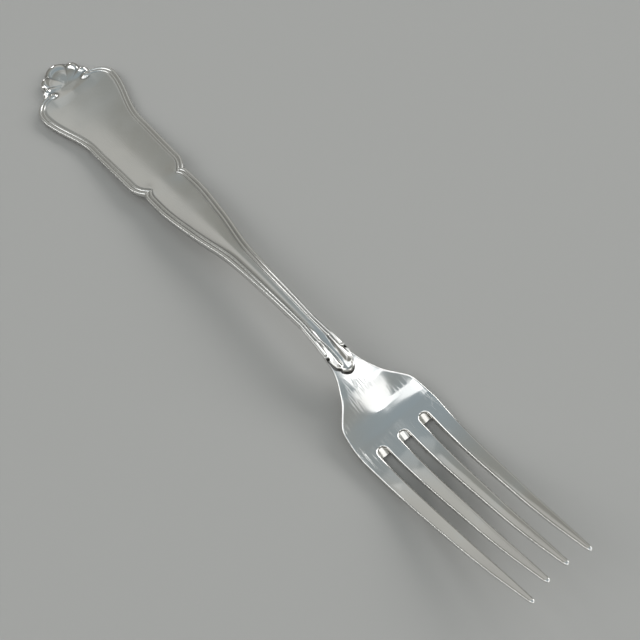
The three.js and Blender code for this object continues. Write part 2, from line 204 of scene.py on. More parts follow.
class ForkTines(bpy.types.PropertyGroup):
    """Tines and the slots between them."""

    slot_width: length("Slot", "Width of the slots at their round roots", 2.3 * MM)
    slot_slope: length("Slot slope", "Length of the slope in each slot's root", 1.75 * MM)
    tine_hollow: length("Tine hollow", "How far a tine's top sinks to its middle", 0.06 * MM)
    slot_depth: length("Slot depth", "How far the slots reach into the palm", 3.7 * MM)
    waist_length: length("Tine waist", "Length from the palm to the tines' quicker taper", 33 * MM)
    waist_width: length("Waist width", "Width of a tine there", 2.3 * MM)
    tip_width: length("Tip width", "Width of a tine at its tip", 1.1 * MM)
    tip_pitch: length("Tip pitch", "Distance between neighbouring tips", 5.05 * MM)
    tip_round: length("Tip round", "Length over which a tip rounds off", 0.9 * MM)


class ForkFinish(bpy.types.PropertyGroup):
    """Worn, polished silver."""

    silver: colour("Silver", "Clean silver", (0.83, 0.82, 0.80))
    tarnish: colour("Tarnish", "Silver in the hollows, where no cloth reaches", (0.022, 0.019, 0.015))
    handle_tarnish: share("Handle tarnish", "How dark the border's grooves are", 0.55)
    shell_tarnish: share("Shell tarnish", "The same for the shell", 0.5)
    head_tarnish: share("Head tarnish", "The same for the head", 1.0)
    handle_roughness: share("Handle roughness", "Roughness of the handle's polish", 0.19)
    shell_roughness: share("Shell roughness", "Roughness of the shell's polish", 0.08)
    head_roughness: share("Head roughness", "Roughness of the head's polish", 0.10)
    handle_scratches: share("Handle scratches", "How strong the handle's scratches are", 0.05)
    shell_scratches: share("Shell scratches", "The same for the shell", 0.02)
    head_scratches: share("Head scratches", "The same for the head", 0.5)


class ForkStage(bpy.types.PropertyGroup):
    """Table, light and camera."""

    table: colour("Table", "The pale table", (0.44, 0.437, 0.425))
    table_size: length("Table size", "Width of the table", 8.0)
    sky: colour("Sky", "Plain light from above", (0.30, 0.355, 0.385))
    wall: colour("Wall", "Plain light from the sides, half way up", (0.283, 0.285, 0.261))
    horizon: colour("Horizon", "Plain light from low down", (0.15, 0.15, 0.144))
    wall_height: share("Wall height", "How high up the light from the sides is taken, from 0 to 1", 0.62)
    key: brightness("Key", "Brightness of the large soft light", 0.95)
    wing: brightness("Wing", "Brightness of the key light's low wing", 0.85)
    fill: brightness("Fill", "Brightness of the broad fill light", 0.2)
    window: brightness("Window", "Brightness of the large light on the right", 3.6)
    side: brightness("Side", "Brightness of the large light on the left", 1.7)
    front: brightness("Front", "Brightness of the large light in front", 0.65)
    edge: brightness("Edge", "Brightness of the narrow low light on the left", 2.6)
    back: brightness("Back", "Brightness of the small low back light", 25.0)
    light_distance: length("Light distance", "Distance of the lights from the fork's neck", 3.0)
    lens: FloatProperty(
        name="Lens", description="Focal length on a 36 mm sensor, in mm", default=57.9, min=1.0
    )
    camera_place: FloatVectorProperty(
        name="Camera", description="Where the camera stands", default=(0.12771, -0.04882, 0.21427),
        size=3, precision=5, subtype="TRANSLATION", unit="LENGTH",
    )
    camera_aim: direction("Aim", "Direction in which the camera looks", (-0.44668, 0.21839, -0.86763))
    camera_right: direction("Right", "Direction of the picture's right side", (0.62501, 0.77006, -0.12795))


class ForkSettings(bpy.types.PropertyGroup):
    """Everything that a user would change on the fork."""

    outline: PointerProperty(name="Outline", description="Plan of the fork", type=ForkOutline)
    profile: PointerProperty(name="Profile", description="Side view of the fork", type=ForkProfile)
    relief: PointerProperty(name="Relief", description="Struck ornament", type=ForkRelief)
    tines: PointerProperty(name="Tines", description="Tines and slots", type=ForkTines)
    finish: PointerProperty(name="Finish", description="Silver", type=ForkFinish)
    stage: PointerProperty(name="Stage", description="Table, light and camera", type=ForkStage)


# Curves

def clamp(v):
    """Keeps a value from 0 to 1."""
    return np.clip(v, 0.0, 1.0)


def smoothstep(v, low, high):
    """Rises smoothly from 0 at low to 1 at high."""
    t = clamp((v - low) / (high - low))
    return t * t * (3.0 - 2.0 * t)


def mix(a, b, t):
    """From a at 0 to b at 1."""
    return a + (b - a) * t


def bell(v, middle, width):
    """1 in the middle, fading smoothly to 0 on both sides."""
    return np.exp(-(((v - middle) / width) ** 2))


def curve_through(*points):
    """A smooth curve through a few points (place, value) that never overshoots between them."""
    places, values = np.array(points, dtype=float).T
    rises = np.diff(values) / np.diff(places)
    before, after = rises[:-1], rises[1:]
    same_way = before * after > 0.0
    total = np.where(same_way, before + after, 1.0)
    slopes = np.concatenate([rises[:1], np.where(same_way, 2.0 * before * after / total, 0.0), rises[-1:]])

    def curve(x):
        x = np.clip(x, places[0], places[-1])
        i = np.clip(np.searchsorted(places, x) - 1, 0, len(places) - 2)
        gap = places[i + 1] - places[i]
        t = (x - places[i]) / gap
        pull = t * (1.0 - t) * gap
        eased = t * t * (3.0 - 2.0 * t)
        return mix(values[i], values[i + 1], eased) + pull * (slopes[i] * (1.0 - t) - slopes[i + 1] * t)

    return curve


def arc_half(width, radius, along):
    """A round lobe's half width, this far along the fork from its widest point."""
    return width / 2 - radius + np.sqrt(np.maximum(0.0, radius**2 - along**2))


def arc_reach(width, narrow, radius):
    """How far along the fork a round lobe takes to narrow from its own width to another."""
    fall = min(max((width - narrow) / 2, 0.0), radius)
    return math.sqrt(fall * (2 * radius - fall))


def round_over(gap, radius):
    """How far a rounded edge has fallen, this far in from the edge."""
    left = clamp(1.0 - gap / radius)
    return radius * (1.0 - np.sqrt(1.0 - left**2))


# Border: fall below the outer thread's crest, from the handle's edge (0) to the panel (1), in thread depths
THREAD_FALL = curve_through(
    (0.0, 1.4), (0.04, 0.7), (0.11, 0.2), (0.23, 0.0), (0.34, 0.15), (0.43, 0.7), (0.50, 1.05),
    (0.57, 0.75), (0.65, 0.38), (0.72, 0.3), (0.80, 0.45), (0.89, 0.98), (0.95, 1.2), (1.0, 1.1),
)
PANEL_FALL = 1.1
GROOVE_SHARE = 0.5
WIDEST_BORDER = 0.62
# Half widths, in borders, below which the threads and the panel's sag grow shallower
DEEP_THREADS = 2
DEEP_PANEL = 3
LEAST_PANEL = 0.1 * MM
# How much wider the border may get where the edge runs at a slant, and what it gets near the notch
STEEPEST_SLANT = 2.2
NOTCH_SLANT = 1.23
NOTCH_REACH = 1.5 * MM
NOTCH_PANEL_REACH = 2.5 * MM
SLOPE_STEP = 0.02 * MM
# How the ears' borders run out into the panel beside the shell
EAR_FADE = 2.0
EAR_FADE_LENGTH = 3 * MM
# Tarnish: the line at the border's foot, the lines' width, and how much of it the broad plate keeps
FOOT_SHARE = 0.95
LINE_WIDTH = 0.09
PLATE_TARNISH = 0.4
# Fall, in thread depths, at which a groove is darkest, and how high up the back stays bare
DEEPEST_FALL = 1.2
LEAST_DEPTH = 0.1 * MM
BARE_BACK = 1 * MM

# Volute: fall below the crest from its middle bead (0) out to its rim (1), and the dark line at its foot
VOLUTE_FALL = curve_through((0.0, -0.45), (0.3, -0.33), (0.6, 0.05), (0.85, 0.75), (1.0, 1.5))
CURL_FOOT = 1.05
CURL_FOOT_WIDTH = 0.16

# Shell, by shares of the way out: swell, crease behind the beads, the beads' crest, the back's turn up
SWELL_RUN = (0.1, 0.5)
CREASE_SHARE = 0.58
BEAD_SHARE = 0.78
BACK_SHARE = 0.8
# How near to upright the beads fall at the rim, how full the rim and the lobes are, and the shell's seams
ROLL_TURN = 0.97
RIM_POWER = 3
RIM_FADE = 0.35
CROWN_POWER = 0.7
EASE_LENGTH = 1 * MM
SHELL_RISE_LENGTH = 2 * MM
SHELL_BACK_RISE = 0.45 * MM
LEAST_AHEAD = 0.001 * MM
# Tarnish in the crease behind the beads, and between the lobes from one share of the way out to another
CREASE_WIDTH = 0.06
CREASE_TARNISH = 0.25
BETWEEN_POWER = 3
BETWEEN_RUN = (0.3, 0.7)

# Head: the back's flat middle, the dish at the drop, at the bend and at the tips, and where it starts
FLAT_SHARE = 0.4
DROP_DISH = 0.6
BEND_DISH = 0.7
TIP_DISH = 0.4
DISH_START = 6 * MM
SHARP_EDGE = 0.02 * MM
# Polish: two slight waves by their turns along and across the fork, the first one swaying from side to side
FIRST_WAVE = (0.9, 0.5)
SECOND_WAVE = (0.3, -1.1)
WAVE_SWAY = 1.2
SWAY_TURNS = 0.6
# Tines: how far their tips close, where the palm's section has become their own, and how round it is
BLUNT_TIP = 0.95
FORM_LENGTH = 6 * MM
EDGE_SHARE = 0.45
BACK_ROUND_SHARE = 0.4

# Drop: its rise to its end, and its round end with the dents either side of the middle lobe
LIFT_START = 6 * MM
LIFT_END = 3 * MM
DENT_SHARE = 0.68
DENT_WIDTH = 0.09
LEAST_DROP = 0.15 * MM
SIDE_STEP = 0.02 * MM
CREASE_SOFTNESS = 0.05 * MM
# Scoops, from before the fingers' start, and the runs over which the threads sink into them
SCOOP_HALF = 1.7 * MM
SCOOP_TURN = 0.9
SCOOP_RUN = (-4 * MM, 3 * MM)
INNER_SINK = (0.0, 2 * MM)
OUTER_SINK = (-0.5 * MM, 0.2 * MM)
# Fingers: their middles and radii at their start, half way and at their tips
FINGER_TIP = 2.9 * MM
FINGER_MIDDLES = (1.2 * MM, 1.3 * MM, 1.5 * MM)
FINGER_RADII = (0.4 * MM, 0.85 * MM, 1.0 * MM)
FINGER_TOP = 1.15
FINGER_SOFTNESS = 0.15
# Rim round the drop's end, which starts past the outer threads, and the slope outside it
RIM_WIDTH = 0.2 * MM
RIM_RUN = (0.6 * MM, 1.4 * MM)
RIM_FALL = 0.04 * MM
EDGE_SLOPE = 0.5
EDGE_REACH = 0.3 * MM
EDGE_RUN = (0.0, 1 * MM)
# Pits in which the outer threads end: place and half size along and across the fork, and depth
PIT_PLACE = (0.45 * MM, 2.5 * MM)
PIT_SIZE = (0.42 * MM, 0.4 * MM)
PIT_DEPTH = 0.7 * MM
# Tarnish on the drop: its outer wall, its pits and the lines beside its threads
WALL_GAP = 0.01 * MM
WALL_FALL = (0.02 * MM, 0.2 * MM)
WALL_RUN = (-0.5 * MM, 0.0)
PIT_STAIN = 0.55 * MM
PIT_STRENGTH = 1.6
DROP_FOOT_SHARE = 0.97
DROP_LINE_WIDTH = 0.1
DROP_LINE_RUN = (-2 * MM, 0.0)
DROP_LINE_STRENGTH = 0.6


def soft_max(a, b):
    """The greater of two heights, with a soft crease where they cross."""
    return 0.5 * (a + b + np.hypot(a - b, CREASE_SOFTNESS))


def groove_lines(inset, foot, width):
    """1 in the groove between the threads and along the border's foot."""
    return bell(inset, GROOVE_SHARE, width) + bell(inset, foot, width)


class ForkShape:
    """The fork's heights and widths at any place, worked out from the settings."""

    def __init__(self, fork):
        self.outline = fork.outline
        self.profile = fork.profile
        self.relief = fork.relief
        self.tines = fork.tines
        self.plan_curves()
        self.side_curves()
        self.tine_curves()

    def plan_curves(self):
        """Places and side lines of the plan."""
        o = self.outline
        self.ear_x = X_PLATE + o.ear_radius * math.cos(o.ear_start)
        self.ear_y = o.ear_width / 2 - o.ear_radius
        self.foot_half = self.ear_y - self.relief.thread_width
        self.waist_x = self.ear_x + o.ear_taper
        self.lobe_x = X_NOTCH - arc_reach(o.lobe_width, o.notch_width, o.lobe_radius)
        self.low_lobe_x = X_NOTCH + arc_reach(o.low_lobe_width, o.notch_width, o.low_lobe_radius)
        self.fingers_x = X_DROP_END - self.relief.finger_length
        self.threads_x = X_DROP_END - self.relief.thread_end
        self.roots_x = X_TINES - self.tines.slot_depth
        self.stem_side = curve_through(
            (self.low_lobe_x, o.low_lobe_width / 2),
            (self.low_lobe_x + o.low_lobe_length, o.low_lobe_width / 2),
            (X_STEM, o.stem_start_width / 2),
            (X_STEM + o.stem_taper, o.stem_taper_width / 2),
            (X_NECK, o.stem_width / 2),
        )
        self.head_side = curve_through(
            (X_NECK, o.stem_width / 2),
            (X_DROP_END - o.drop_end_length, o.drop_end_width / 2),
            (X_PALM, o.neck_end_width / 2),
            (X_PALM + o.palm_shoulder, o.palm_shoulder_width / 2),
            (self.roots_x, o.head_width / 2),
            (X_TINES, o.tine_span / 2),
        )

    def side_curves(self):
        """Heights and thicknesses of the side view."""
        p = self.profile
        belly_x = X_TINES - p.belly_length
        self.underside = curve_through(
            (X_SHELL, 0.0),
            (X_SHELL + p.handle_rest, 0.0),
            (X_NOTCH, p.notch_rise),
            (X_NECK - p.arch_length / 2, p.arch_rise),
            (X_NECK + p.arch_length / 2, p.arch_rise),
            (X_PALM, p.neck_end_rise),
            (X_PALM + p.heel_length, p.heel_rise),
            (belly_x, 0.0),
            (X_TINES, 0.0),
            (X_TINES + p.bend_length, p.bend_rise),
            (X_TIPS, p.tip_rise),
        )
        self.handle_thickness = curve_through(
            (X_SHELL, p.handle_thickness),
            (X_PLATE, p.handle_thickness),
            (X_NOTCH, p.notch_thickness),
            (X_NECK, p.stem_thickness),
        )
        self.head_thickness = curve_through(
            (X_NECK, p.stem_thickness - self.relief.drop_height),
            (belly_x, p.palm_thickness),
            (X_TINES, p.palm_thickness),
            (X_TIPS, p.tip_thickness),
        )
        self.dish = curve_through(
            (X_DROP_END - DISH_START, 0.0),
            (X_DROP_END, p.palm_dish * DROP_DISH),
            (X_PALM + p.heel_length, p.palm_dish),
            (X_TINES, p.root_dish),
            (X_TINES + p.bend_length, p.root_dish * BEND_DISH),
            (X_TIPS, p.root_dish * TIP_DISH),
        )

    def tine_curves(self):
        """Pitch and taper of the tines."""
        t = self.tines
        self.root_pitch = (self.outline.tine_span + t.slot_width) / TINE_COUNT
        self.tine_width = curve_through(
            (X_TINES, self.root_pitch - t.slot_width),
            (X_TINES + t.waist_length, t.waist_width),
            (X_TIPS, t.tip_width),
        )

    def half_width(self, x):
        """Half the fork's width at a place along it."""
        o = self.outline
        ear_to_waist = mix(o.ear_width, o.waist_width, smoothstep(x, self.ear_x, self.waist_x))
        plate = mix(ear_to_waist, o.lobe_width, smoothstep(x, self.waist_x, self.lobe_x)) / 2
        return np.select(
            [x < self.ear_x, x < self.lobe_x, x < X_NOTCH, x < self.low_lobe_x, x < X_NECK],
            [
                arc_half(o.ear_width, o.ear_radius, self.ear_x - x),
                plate,
                arc_half(o.lobe_width, o.lobe_radius, x - self.lobe_x),
                arc_half(o.low_lobe_width, o.low_lobe_radius, self.low_lobe_x - x),
                self.stem_side(x),
            ],
            self.head_side(x),
        )

    def slant(self, x):
        """How much wider an even border is across the fork where the edge runs at a slant."""
        step = np.where(x < X_NOTCH, -SLOPE_STEP, SLOPE_STEP)
        slope = (self.half_width(x + step) - self.half_width(x)) / step
        near = bell(x, X_NOTCH, NOTCH_REACH) * (x < X_STEM)
        return mix(np.minimum(np.hypot(1.0, slope), STEEPEST_SLANT), NOTCH_SLANT, near)

    # Handle

    def border_width(self, x):
        """Width of the border across the fork."""
        return np.minimum(self.relief.thread_width * self.slant(x), self.half_width(x) * WIDEST_BORDER)

    def side_inset(self, x, y):
        """Distance in from the fork's side, in widths of its border."""
        return (self.half_width(x) - np.abs(y)) / self.border_width(x)

    def edge_inset(self, x, y):
        """The same from the handle's whole edge, also round the ears' ends."""
        across = np.abs(y)
        radius = self.outline.ear_radius
        back = self.ear_x - x
        fade = 1.0 + EAR_FADE * (1.0 - smoothstep(x, X_PLATE, X_PLATE + EAR_FADE_LENGTH))
        inner = radius - back + fade * (self.ear_y - across)
        outer = radius - np.hypot(back, across - self.ear_y)
        ear = np.where(across < self.ear_y, inner, outer) / self.relief.thread_width
        return np.where(x < self.ear_x, ear, self.side_inset(x, y))

    def crest(self, x):
        """Height of the outer thread's crest."""
        return self.underside(x) + self.handle_thickness(x)

    def thread_depth(self, x):
        """Depth of the groove between the threads."""
        r = self.relief
        half = self.half_width(np.maximum(x, X_PLATE))
        strength = mix(r.plate_threads, 1.0, smoothstep(x, X_STEM, X_NECK))
        return r.thread_depth * strength * np.minimum(1.0, half / (DEEP_THREADS * r.thread_width))

    def panel_sag(self, x, y, inset):
        """How far the panel sags below the border's foot, from how far in it lies."""
        r = self.relief
        past_ears = np.maximum(x, self.ear_x)
        border = self.border_width(past_ears)
        panel = np.maximum(self.half_width(past_ears) - border, LEAST_PANEL)
        deep = clamp((inset - 1.0) * border / panel)
        notch = np.array(X_NOTCH)
        notch_panel = self.half_width(notch) - self.border_width(notch)
        deep = mix(deep, clamp(1.0 - np.abs(y) / notch_panel), bell(x, X_NOTCH, NOTCH_PANEL_REACH))
        sag = r.panel_dish * np.minimum(1.0, self.half_width(x) / (DEEP_PANEL * r.thread_width))
        return sag * (1.0 - (1.0 - deep) ** 2)

    def panel_fall(self, x, y, inset):
        """How far the panel lies below the outer thread's crest."""
        return PANEL_FALL * self.thread_depth(x) + self.panel_sag(x, y, inset)

    def panel_top(self, x, y):
        """Height of the panel inside the border."""
        return self.crest(x) - self.panel_fall(x, y, np.maximum(self.edge_inset(x, y), 1.0))

    def handle_relief(self, x, y):
        """How far the struck handle lies below the outer thread's crest."""
        inset = self.edge_inset(x, y)
        threads = THREAD_FALL(inset) * self.thread_depth(x)
        fall = np.where(inset < 1.0, threads, self.panel_fall(x, y, inset))
        return np.minimum(fall, self.volute_fall(x, y))

    def volute_fall(self, x, y):
        """The same for the curls in which the border ends beside the shell's foot."""
        out = self.curl(x, y)
        return np.where(out < 1.0, VOLUTE_FALL(out) * self.relief.thread_depth, np.inf)

    def curl(self, x, y):
        """How far out of an ear's curl a place lies, from 0 in its middle to 1 on its rim."""
        r = self.relief
        middle_x = self.ear_x - self.outline.ear_radius + r.thread_width / 2
        middle_y = self.ear_y - r.volute_inset
        return np.hypot((x - middle_x) / r.volute_radius, (np.abs(y) - middle_y) / r.volute_length)

    def curl_edge(self, x, y):
        """1 along a curl's foot, on the side of the shell and the panel."""
        return bell(self.curl(x, y), CURL_FOOT, CURL_FOOT_WIDTH) * (np.abs(y) < self.ear_y)

    def handle_top(self, x, y):
        """Height of the handle's struck front."""
        return self.crest(x) - self.handle_relief(x, y)

    def handle_under(self, x, y):
        """Height of the handle's plain back, which rounds up to its edges."""
        p = self.profile
        rounding = mix(p.handle_rounding, p.stem_rounding, smoothstep(x, X_NOTCH, X_NECK))
        out = np.maximum(0.0, np.abs(y) / self.half_width(x) - FLAT_SHARE) / (1.0 - FLAT_SHARE)
        return self.underside(x) + rounding * out**2

    def handle_recess(self, x, y, z):
        """How deep a point lies in the handle's ornament, from 0 on a crest to 1 in a groove."""
        fall = (self.crest(x) - z) / np.maximum(self.thread_depth(x), LEAST_DEPTH)
        depth = np.clip(fall, 0.0, DEEPEST_FALL) / DEEPEST_FALL
        kept = mix(PLATE_TARNISH, 1.0, smoothstep(x, self.lobe_x, X_NOTCH))
        lines = groove_lines(self.edge_inset(x, y), FOOT_SHARE, LINE_WIDTH) * kept
        front = z > self.underside(x) + BARE_BACK
        return clamp(np.maximum(depth * lines, self.curl_edge(x, y))) * front

    # Shell

    def shell_crown(self, turn):
        """1 along the middle of a lobe and 0 in the groove between two, at an angle from the fork's axis."""
        r = self.relief
        out = np.abs(turn) / (math.pi / 2)
        lobe = r.shell_lobes / 2 * mix(out, out**2, r.lobe_growth)
        return np.abs(np.cos(math.pi * lobe + (0.0 if r.shell_lobes % 2 else math.pi / 2)))

    def shell_reach(self, turn):
        """Distance from the shell's foot to its scalloped rim."""
        ahead = np.abs(np.cos(turn))
        plain = mix(self.half_width(np.array(X_PLATE)), X_PLATE - X_SHELL, ahead**RIM_POWER)
        fade = smoothstep(ahead, 0.0, RIM_FADE)
        return plain - self.relief.scallop * (1.0 - self.shell_crown(turn)) * fade

    def shell_top(self, turn, out):
        """Height of the shell at an angle and a share of the way out: flutes, then a rim of round beads."""
        r = self.relief
        reach = self.shell_reach(turn)
        x = X_PLATE - out * reach * np.cos(turn)
        y = out * reach * np.sin(turn)
        crown = self.shell_crown(turn) ** CROWN_POWER
        flutes = r.flute_height * crown * smoothstep(out, 0.0, CREASE_SHARE)
        across = np.clip((out - BEAD_SHARE) / (BEAD_SHARE - CREASE_SHARE), -1.0, 1.0)
        beads = r.bead_height * crown * np.cos(across * math.pi / 2) ** 2
        carving = np.where(out < BEAD_SHARE, np.maximum(flutes, beads), r.bead_height * crown)
        swell = r.shell_swell * smoothstep(out, *SWELL_RUN)
        rise = smoothstep(X_PLATE - x, 0.0, SHELL_RISE_LENGTH)
        over = clamp((out - BEAD_SHARE) / (1.0 - BEAD_SHARE)) * ROLL_TURN
        fallen = (1.0 - np.sqrt(1.0 - over**2)) / (1.0 - math.sqrt(1.0 - ROLL_TURN**2))
        raised = mix(self.shell_floor(x, y) + rise * (swell + carving), r.shell_rim, fallen)
        return np.maximum(raised, self.crest(np.array(X_PLATE)) - self.volute_fall(x, y))

    def shell_floor(self, x, y):
        """The panel's height carried on under the shell, with the slope that it has at the shell's foot."""
        foot = np.full_like(x, X_PLATE)
        past = foot + EASE_LENGTH * (1.0 - np.exp((x - X_PLATE) / EASE_LENGTH))
        inside = np.clip(y, -self.foot_half, self.foot_half)
        return 2.0 * self.panel_top(foot, inside) - self.panel_top(past, inside)

    def shell_under(self, x, out):
        """Height of the shell's back, which turns up a little at the rim."""
        return self.underside(x) + SHELL_BACK_RISE * clamp((out - BACK_SHARE) / (1.0 - BACK_SHARE)) ** 2

    def shell_recess(self, x, y, _):
        """How deep a point lies between the shell's lobes."""
        turn = np.arctan2(y, np.maximum(X_PLATE - x, LEAST_AHEAD))
        out = np.hypot(x - X_PLATE, y) / self.shell_reach(turn)
        crease = bell(out, CREASE_SHARE, CREASE_WIDTH) * CREASE_TARNISH
        between = (1.0 - self.shell_crown(turn)) ** BETWEEN_POWER * smoothstep(out, *BETWEEN_RUN)
        return clamp(np.maximum(np.maximum(crease, between), self.curl_edge(x, y)))

    # Neck and head

    def head_lift(self, x, y):
        """How far the dish lifts the head towards its edges."""
        return self.dish(x) * (y / (self.outline.head_width / 2)) ** 2

    def back_lift(self, x, y, half):
        """The same for the back, which is flat in its middle, from the fork's half width."""
        flat = half * FLAT_SHARE
        whole = (self.outline.head_width / 2) ** 2 - flat**2
        return self.dish(x) * (np.maximum(0.0, y**2 - flat**2) / whole)

    def polish_waves(self, x, y):
        """Slight unevenness that polishing by hand leaves on the palm."""
        size = self.profile.wave_length
        turn = 2.0 * math.pi / size
        sway = WAVE_SWAY * np.sin(turn * SWAY_TURNS * y)
        first = np.sin(turn * (FIRST_WAVE[0] * x + FIRST_WAVE[1] * y) + sway)
        second = np.sin(turn * (SECOND_WAVE[0] * x + SECOND_WAVE[1] * y))
        worn = smoothstep(x, X_PALM - size, X_PALM) * (1.0 - smoothstep(x, X_TINES, X_TINES + size))
        return self.profile.wave_height * (first + second) / 2 * worn

    def head_top(self, x, y):
        """Height of the head's front before its edges are rounded."""
        return self.underside(x) + self.head_thickness(x) + self.head_lift(x, y) + self.polish_waves(x, y)

    def palm_gap(self, x, y):
        """Distance in from the nearest edge of the neck or palm, slots included."""
        gap = (self.half_width(x) - np.abs(y)) / self.slant(x)
        radius = self.tines.slot_width / 2
        along = np.minimum(0.0, x - self.roots_x - radius)
        for middle in self.slot_middles():
            gap = np.minimum(gap, np.hypot(along, y - middle) - radius)
        return np.maximum(gap, 0.0)

    def slot_middles(self):
        """How far each slot's root lies from the fork's middle."""
        return [(index + 1 - TINE_COUNT / 2) * self.root_pitch for index in range(TINE_COUNT - 1)]

    def palm_top(self, x, y):
        """Height of the neck's and palm's front, whose edge is sharp beside the drop."""
        edge = mix(SHARP_EDGE, self.profile.soft_edge, smoothstep(x, X_DROP_END - DISH_START, X_DROP_END))
        return self.head_top(x, y) - round_over(self.palm_gap(x, y), edge)

    def palm_under(self, x, y):
        """Height of the neck's and palm's back."""
        p = self.profile
        half = self.half_width(x)
        rounding = mix(p.stem_rounding, p.head_rounding, smoothstep(x, X_NECK, X_PALM))
        reach = np.minimum(p.rounding_reach, half * (1.0 - FLAT_SHARE))
        edge = clamp(1.0 - self.palm_gap(x, y) / reach)
        return self.underside(x) + self.back_lift(x, y, half) + rounding * edge**2

    def tine_edges(self, index, x):
        """Left and right edge of a tine or of its root in the palm."""
        pitch = mix(self.root_pitch, self.tines.tip_pitch, clamp((x - X_TINES) / (X_TIPS - X_TINES)))
        middle = (index - (TINE_COUNT - 1) / 2) * pitch
        half = self.tine_width(x) / 2 * self.tip_closing(index, x)
        left, right = middle - half, middle + half
        radius = self.tines.slot_width / 2
        past = clamp((x - self.roots_x) / radius)
        closed = radius * (1.0 - np.sqrt(1.0 - (1.0 - past) ** 2))
        outer = self.half_width(np.minimum(x, X_TINES))
        left = np.where(x < X_TINES, np.where(index == 0, -outer, left - closed), left)
        right = np.where(x < X_TINES, np.where(index == TINE_COUNT - 1, outer, right + closed), right)
        return left, right

    def tine_end(self, index):
        """Where a tine's tip ends."""
        return X_TIPS if index in (0, TINE_COUNT - 1) else X_INNER_TIPS

    def tip_closing(self, index, x):
        """1 along a tine, closing to a small blunt end over its round tip."""
        tip_round = self.tines.tip_round
        past = np.clip((x - self.tine_end(index) + tip_round) / tip_round, 0.0, BLUNT_TIP)
        return np.sqrt(1.0 - past**2)

    def tine_rings(self, index, x, ys):
        """Sections of one tine: hardly hollow on top, with soft edges and a round back."""
        p = self.profile
        along = np.broadcast_to(x[:, None], ys.shape)
        gap = np.minimum(ys - ys[:, :1], ys[:, -1:] - ys)
        width = ys[:, -1:] - ys[:, :1]
        grown = smoothstep(x, X_TINES, X_TINES + FORM_LENGTH)[:, None]
        hollow = self.tines.tine_hollow * (1.0 - 2.0 * gap / width) ** 2 * grown
        soft = np.minimum(p.soft_edge, EDGE_SHARE * width)
        top = self.head_top(along, ys) - round_over(gap, soft) + hollow
        reach = mix(p.rounding_reach, width / 2, grown)
        rounding = mix(p.head_rounding, BACK_ROUND_SHARE * self.head_thickness(along), grown)
        palm_lift = self.back_lift(along, ys, self.outline.tine_span / 2)
        lift = mix(palm_lift, self.head_lift(along, ys), grown)
        under = self.underside(along) + lift + rounding * clamp(1.0 - gap / reach) ** 2
        middle = (top + under) / 2
        closing = self.tip_closing(index, x)[:, None]
        return joined_rings(along, ys, mix(middle, under, closing), mix(middle, top, closing))

    # Drop

    def drop_half(self, x):
        """Half the drop's width: the neck's own, then a round end with dents beside its middle lobe."""
        r = self.relief
        start = X_DROP_END - r.drop_round_length
        past = clamp((x - start) / r.drop_round_length)
        dent = r.drop_dent * bell(past, DENT_SHARE, DENT_WIDTH)
        end = np.where(x < start, np.inf, r.drop_width / 2 * np.sqrt(1.0 - past**2) - dent)
        return np.minimum(self.half_width(x) - SIDE_STEP, np.maximum(end, LEAST_DROP))

    def drop_gap(self, x, y):
        """Distance in from the drop's edge, roughly."""
        r = self.relief
        side = self.drop_half(x) - np.abs(y)
        start = X_DROP_END - r.drop_round_length
        out = np.hypot(np.maximum(0.0, x - start) / r.drop_round_length, y / (r.drop_width / 2))
        end = np.where(x < start, np.inf, (1.0 - out) * r.drop_width / 2)
        return np.maximum(0.0, np.minimum(side, end))

    def drop_top(self, x, y):
        """Height of the drop: outer threads that end in pits, and fingers and scoops inside a thin rim."""
        r = self.relief
        rise = smoothstep(x, X_NECK + LIFT_START, X_DROP_END - LIFT_END)
        crest = self.underside(x) + self.head_thickness(x) + mix(r.drop_height, r.drop_end_height, rise)
        floor = self.drop_floor(x, y)
        carving = soft_max(soft_max(self.drop_threads(x, y, floor), floor), self.drop_ridges(x, y, floor))
        past, side = self.from_pit(x, y)
        pit = PIT_DEPTH * clamp(1.0 - (past / PIT_SIZE[0]) ** 2 - (side / PIT_SIZE[1]) ** 2)
        return crest + carving - pit - round_over(self.drop_gap(x, y), r.drop_edge)

    def from_pit(self, x, y):
        """How far along and across the fork a place lies from the middle of a pit."""
        return x - self.threads_x - PIT_PLACE[0], np.abs(y) - PIT_PLACE[1]

    def drop_floor(self, x, y):
        """Height of the floor against the drop's crest: the stem's panel, then three scoops."""
        panel = -self.panel_fall(x, y, np.maximum(self.side_inset(x, y), 1.0))
        scoops = -self.relief.scoop_depth * np.cos(SCOOP_TURN * clamp(np.abs(y) / SCOOP_HALF))
        return mix(panel, scoops, smoothstep(x - self.fingers_x, *SCOOP_RUN))

    def drop_threads(self, x, y, floor):
        """Height of the stem's threads, which sink into the scoops, the inner ones first."""
        inset = self.side_inset(x, y)
        outer = smoothstep(x - self.threads_x, *OUTER_SINK)
        inner = np.maximum(outer, smoothstep(x - self.fingers_x, *INNER_SINK))
        sink = 2.0 * self.relief.scoop_depth * np.where(inset < GROOVE_SHARE, outer, inner)
        return np.where(inset < 1.0, -self.handle_relief(x, y) - sink, floor)

    def drop_ridges(self, x, y, floor):
        """Height of the two fingers and of the thin rim round the drop's end."""
        gap = self.drop_gap(x, y)
        past = x - self.threads_x
        rim = bell(np.maximum(gap, RIM_WIDTH), RIM_WIDTH, RIM_WIDTH) * smoothstep(past, *RIM_RUN)
        ridges = soft_max(mix(floor, 0.0, self.finger(x, np.abs(y))), mix(floor, -RIM_FALL, rim))
        return ridges - EDGE_SLOPE * np.maximum(0.0, EDGE_REACH - gap) * smoothstep(past, *EDGE_RUN)

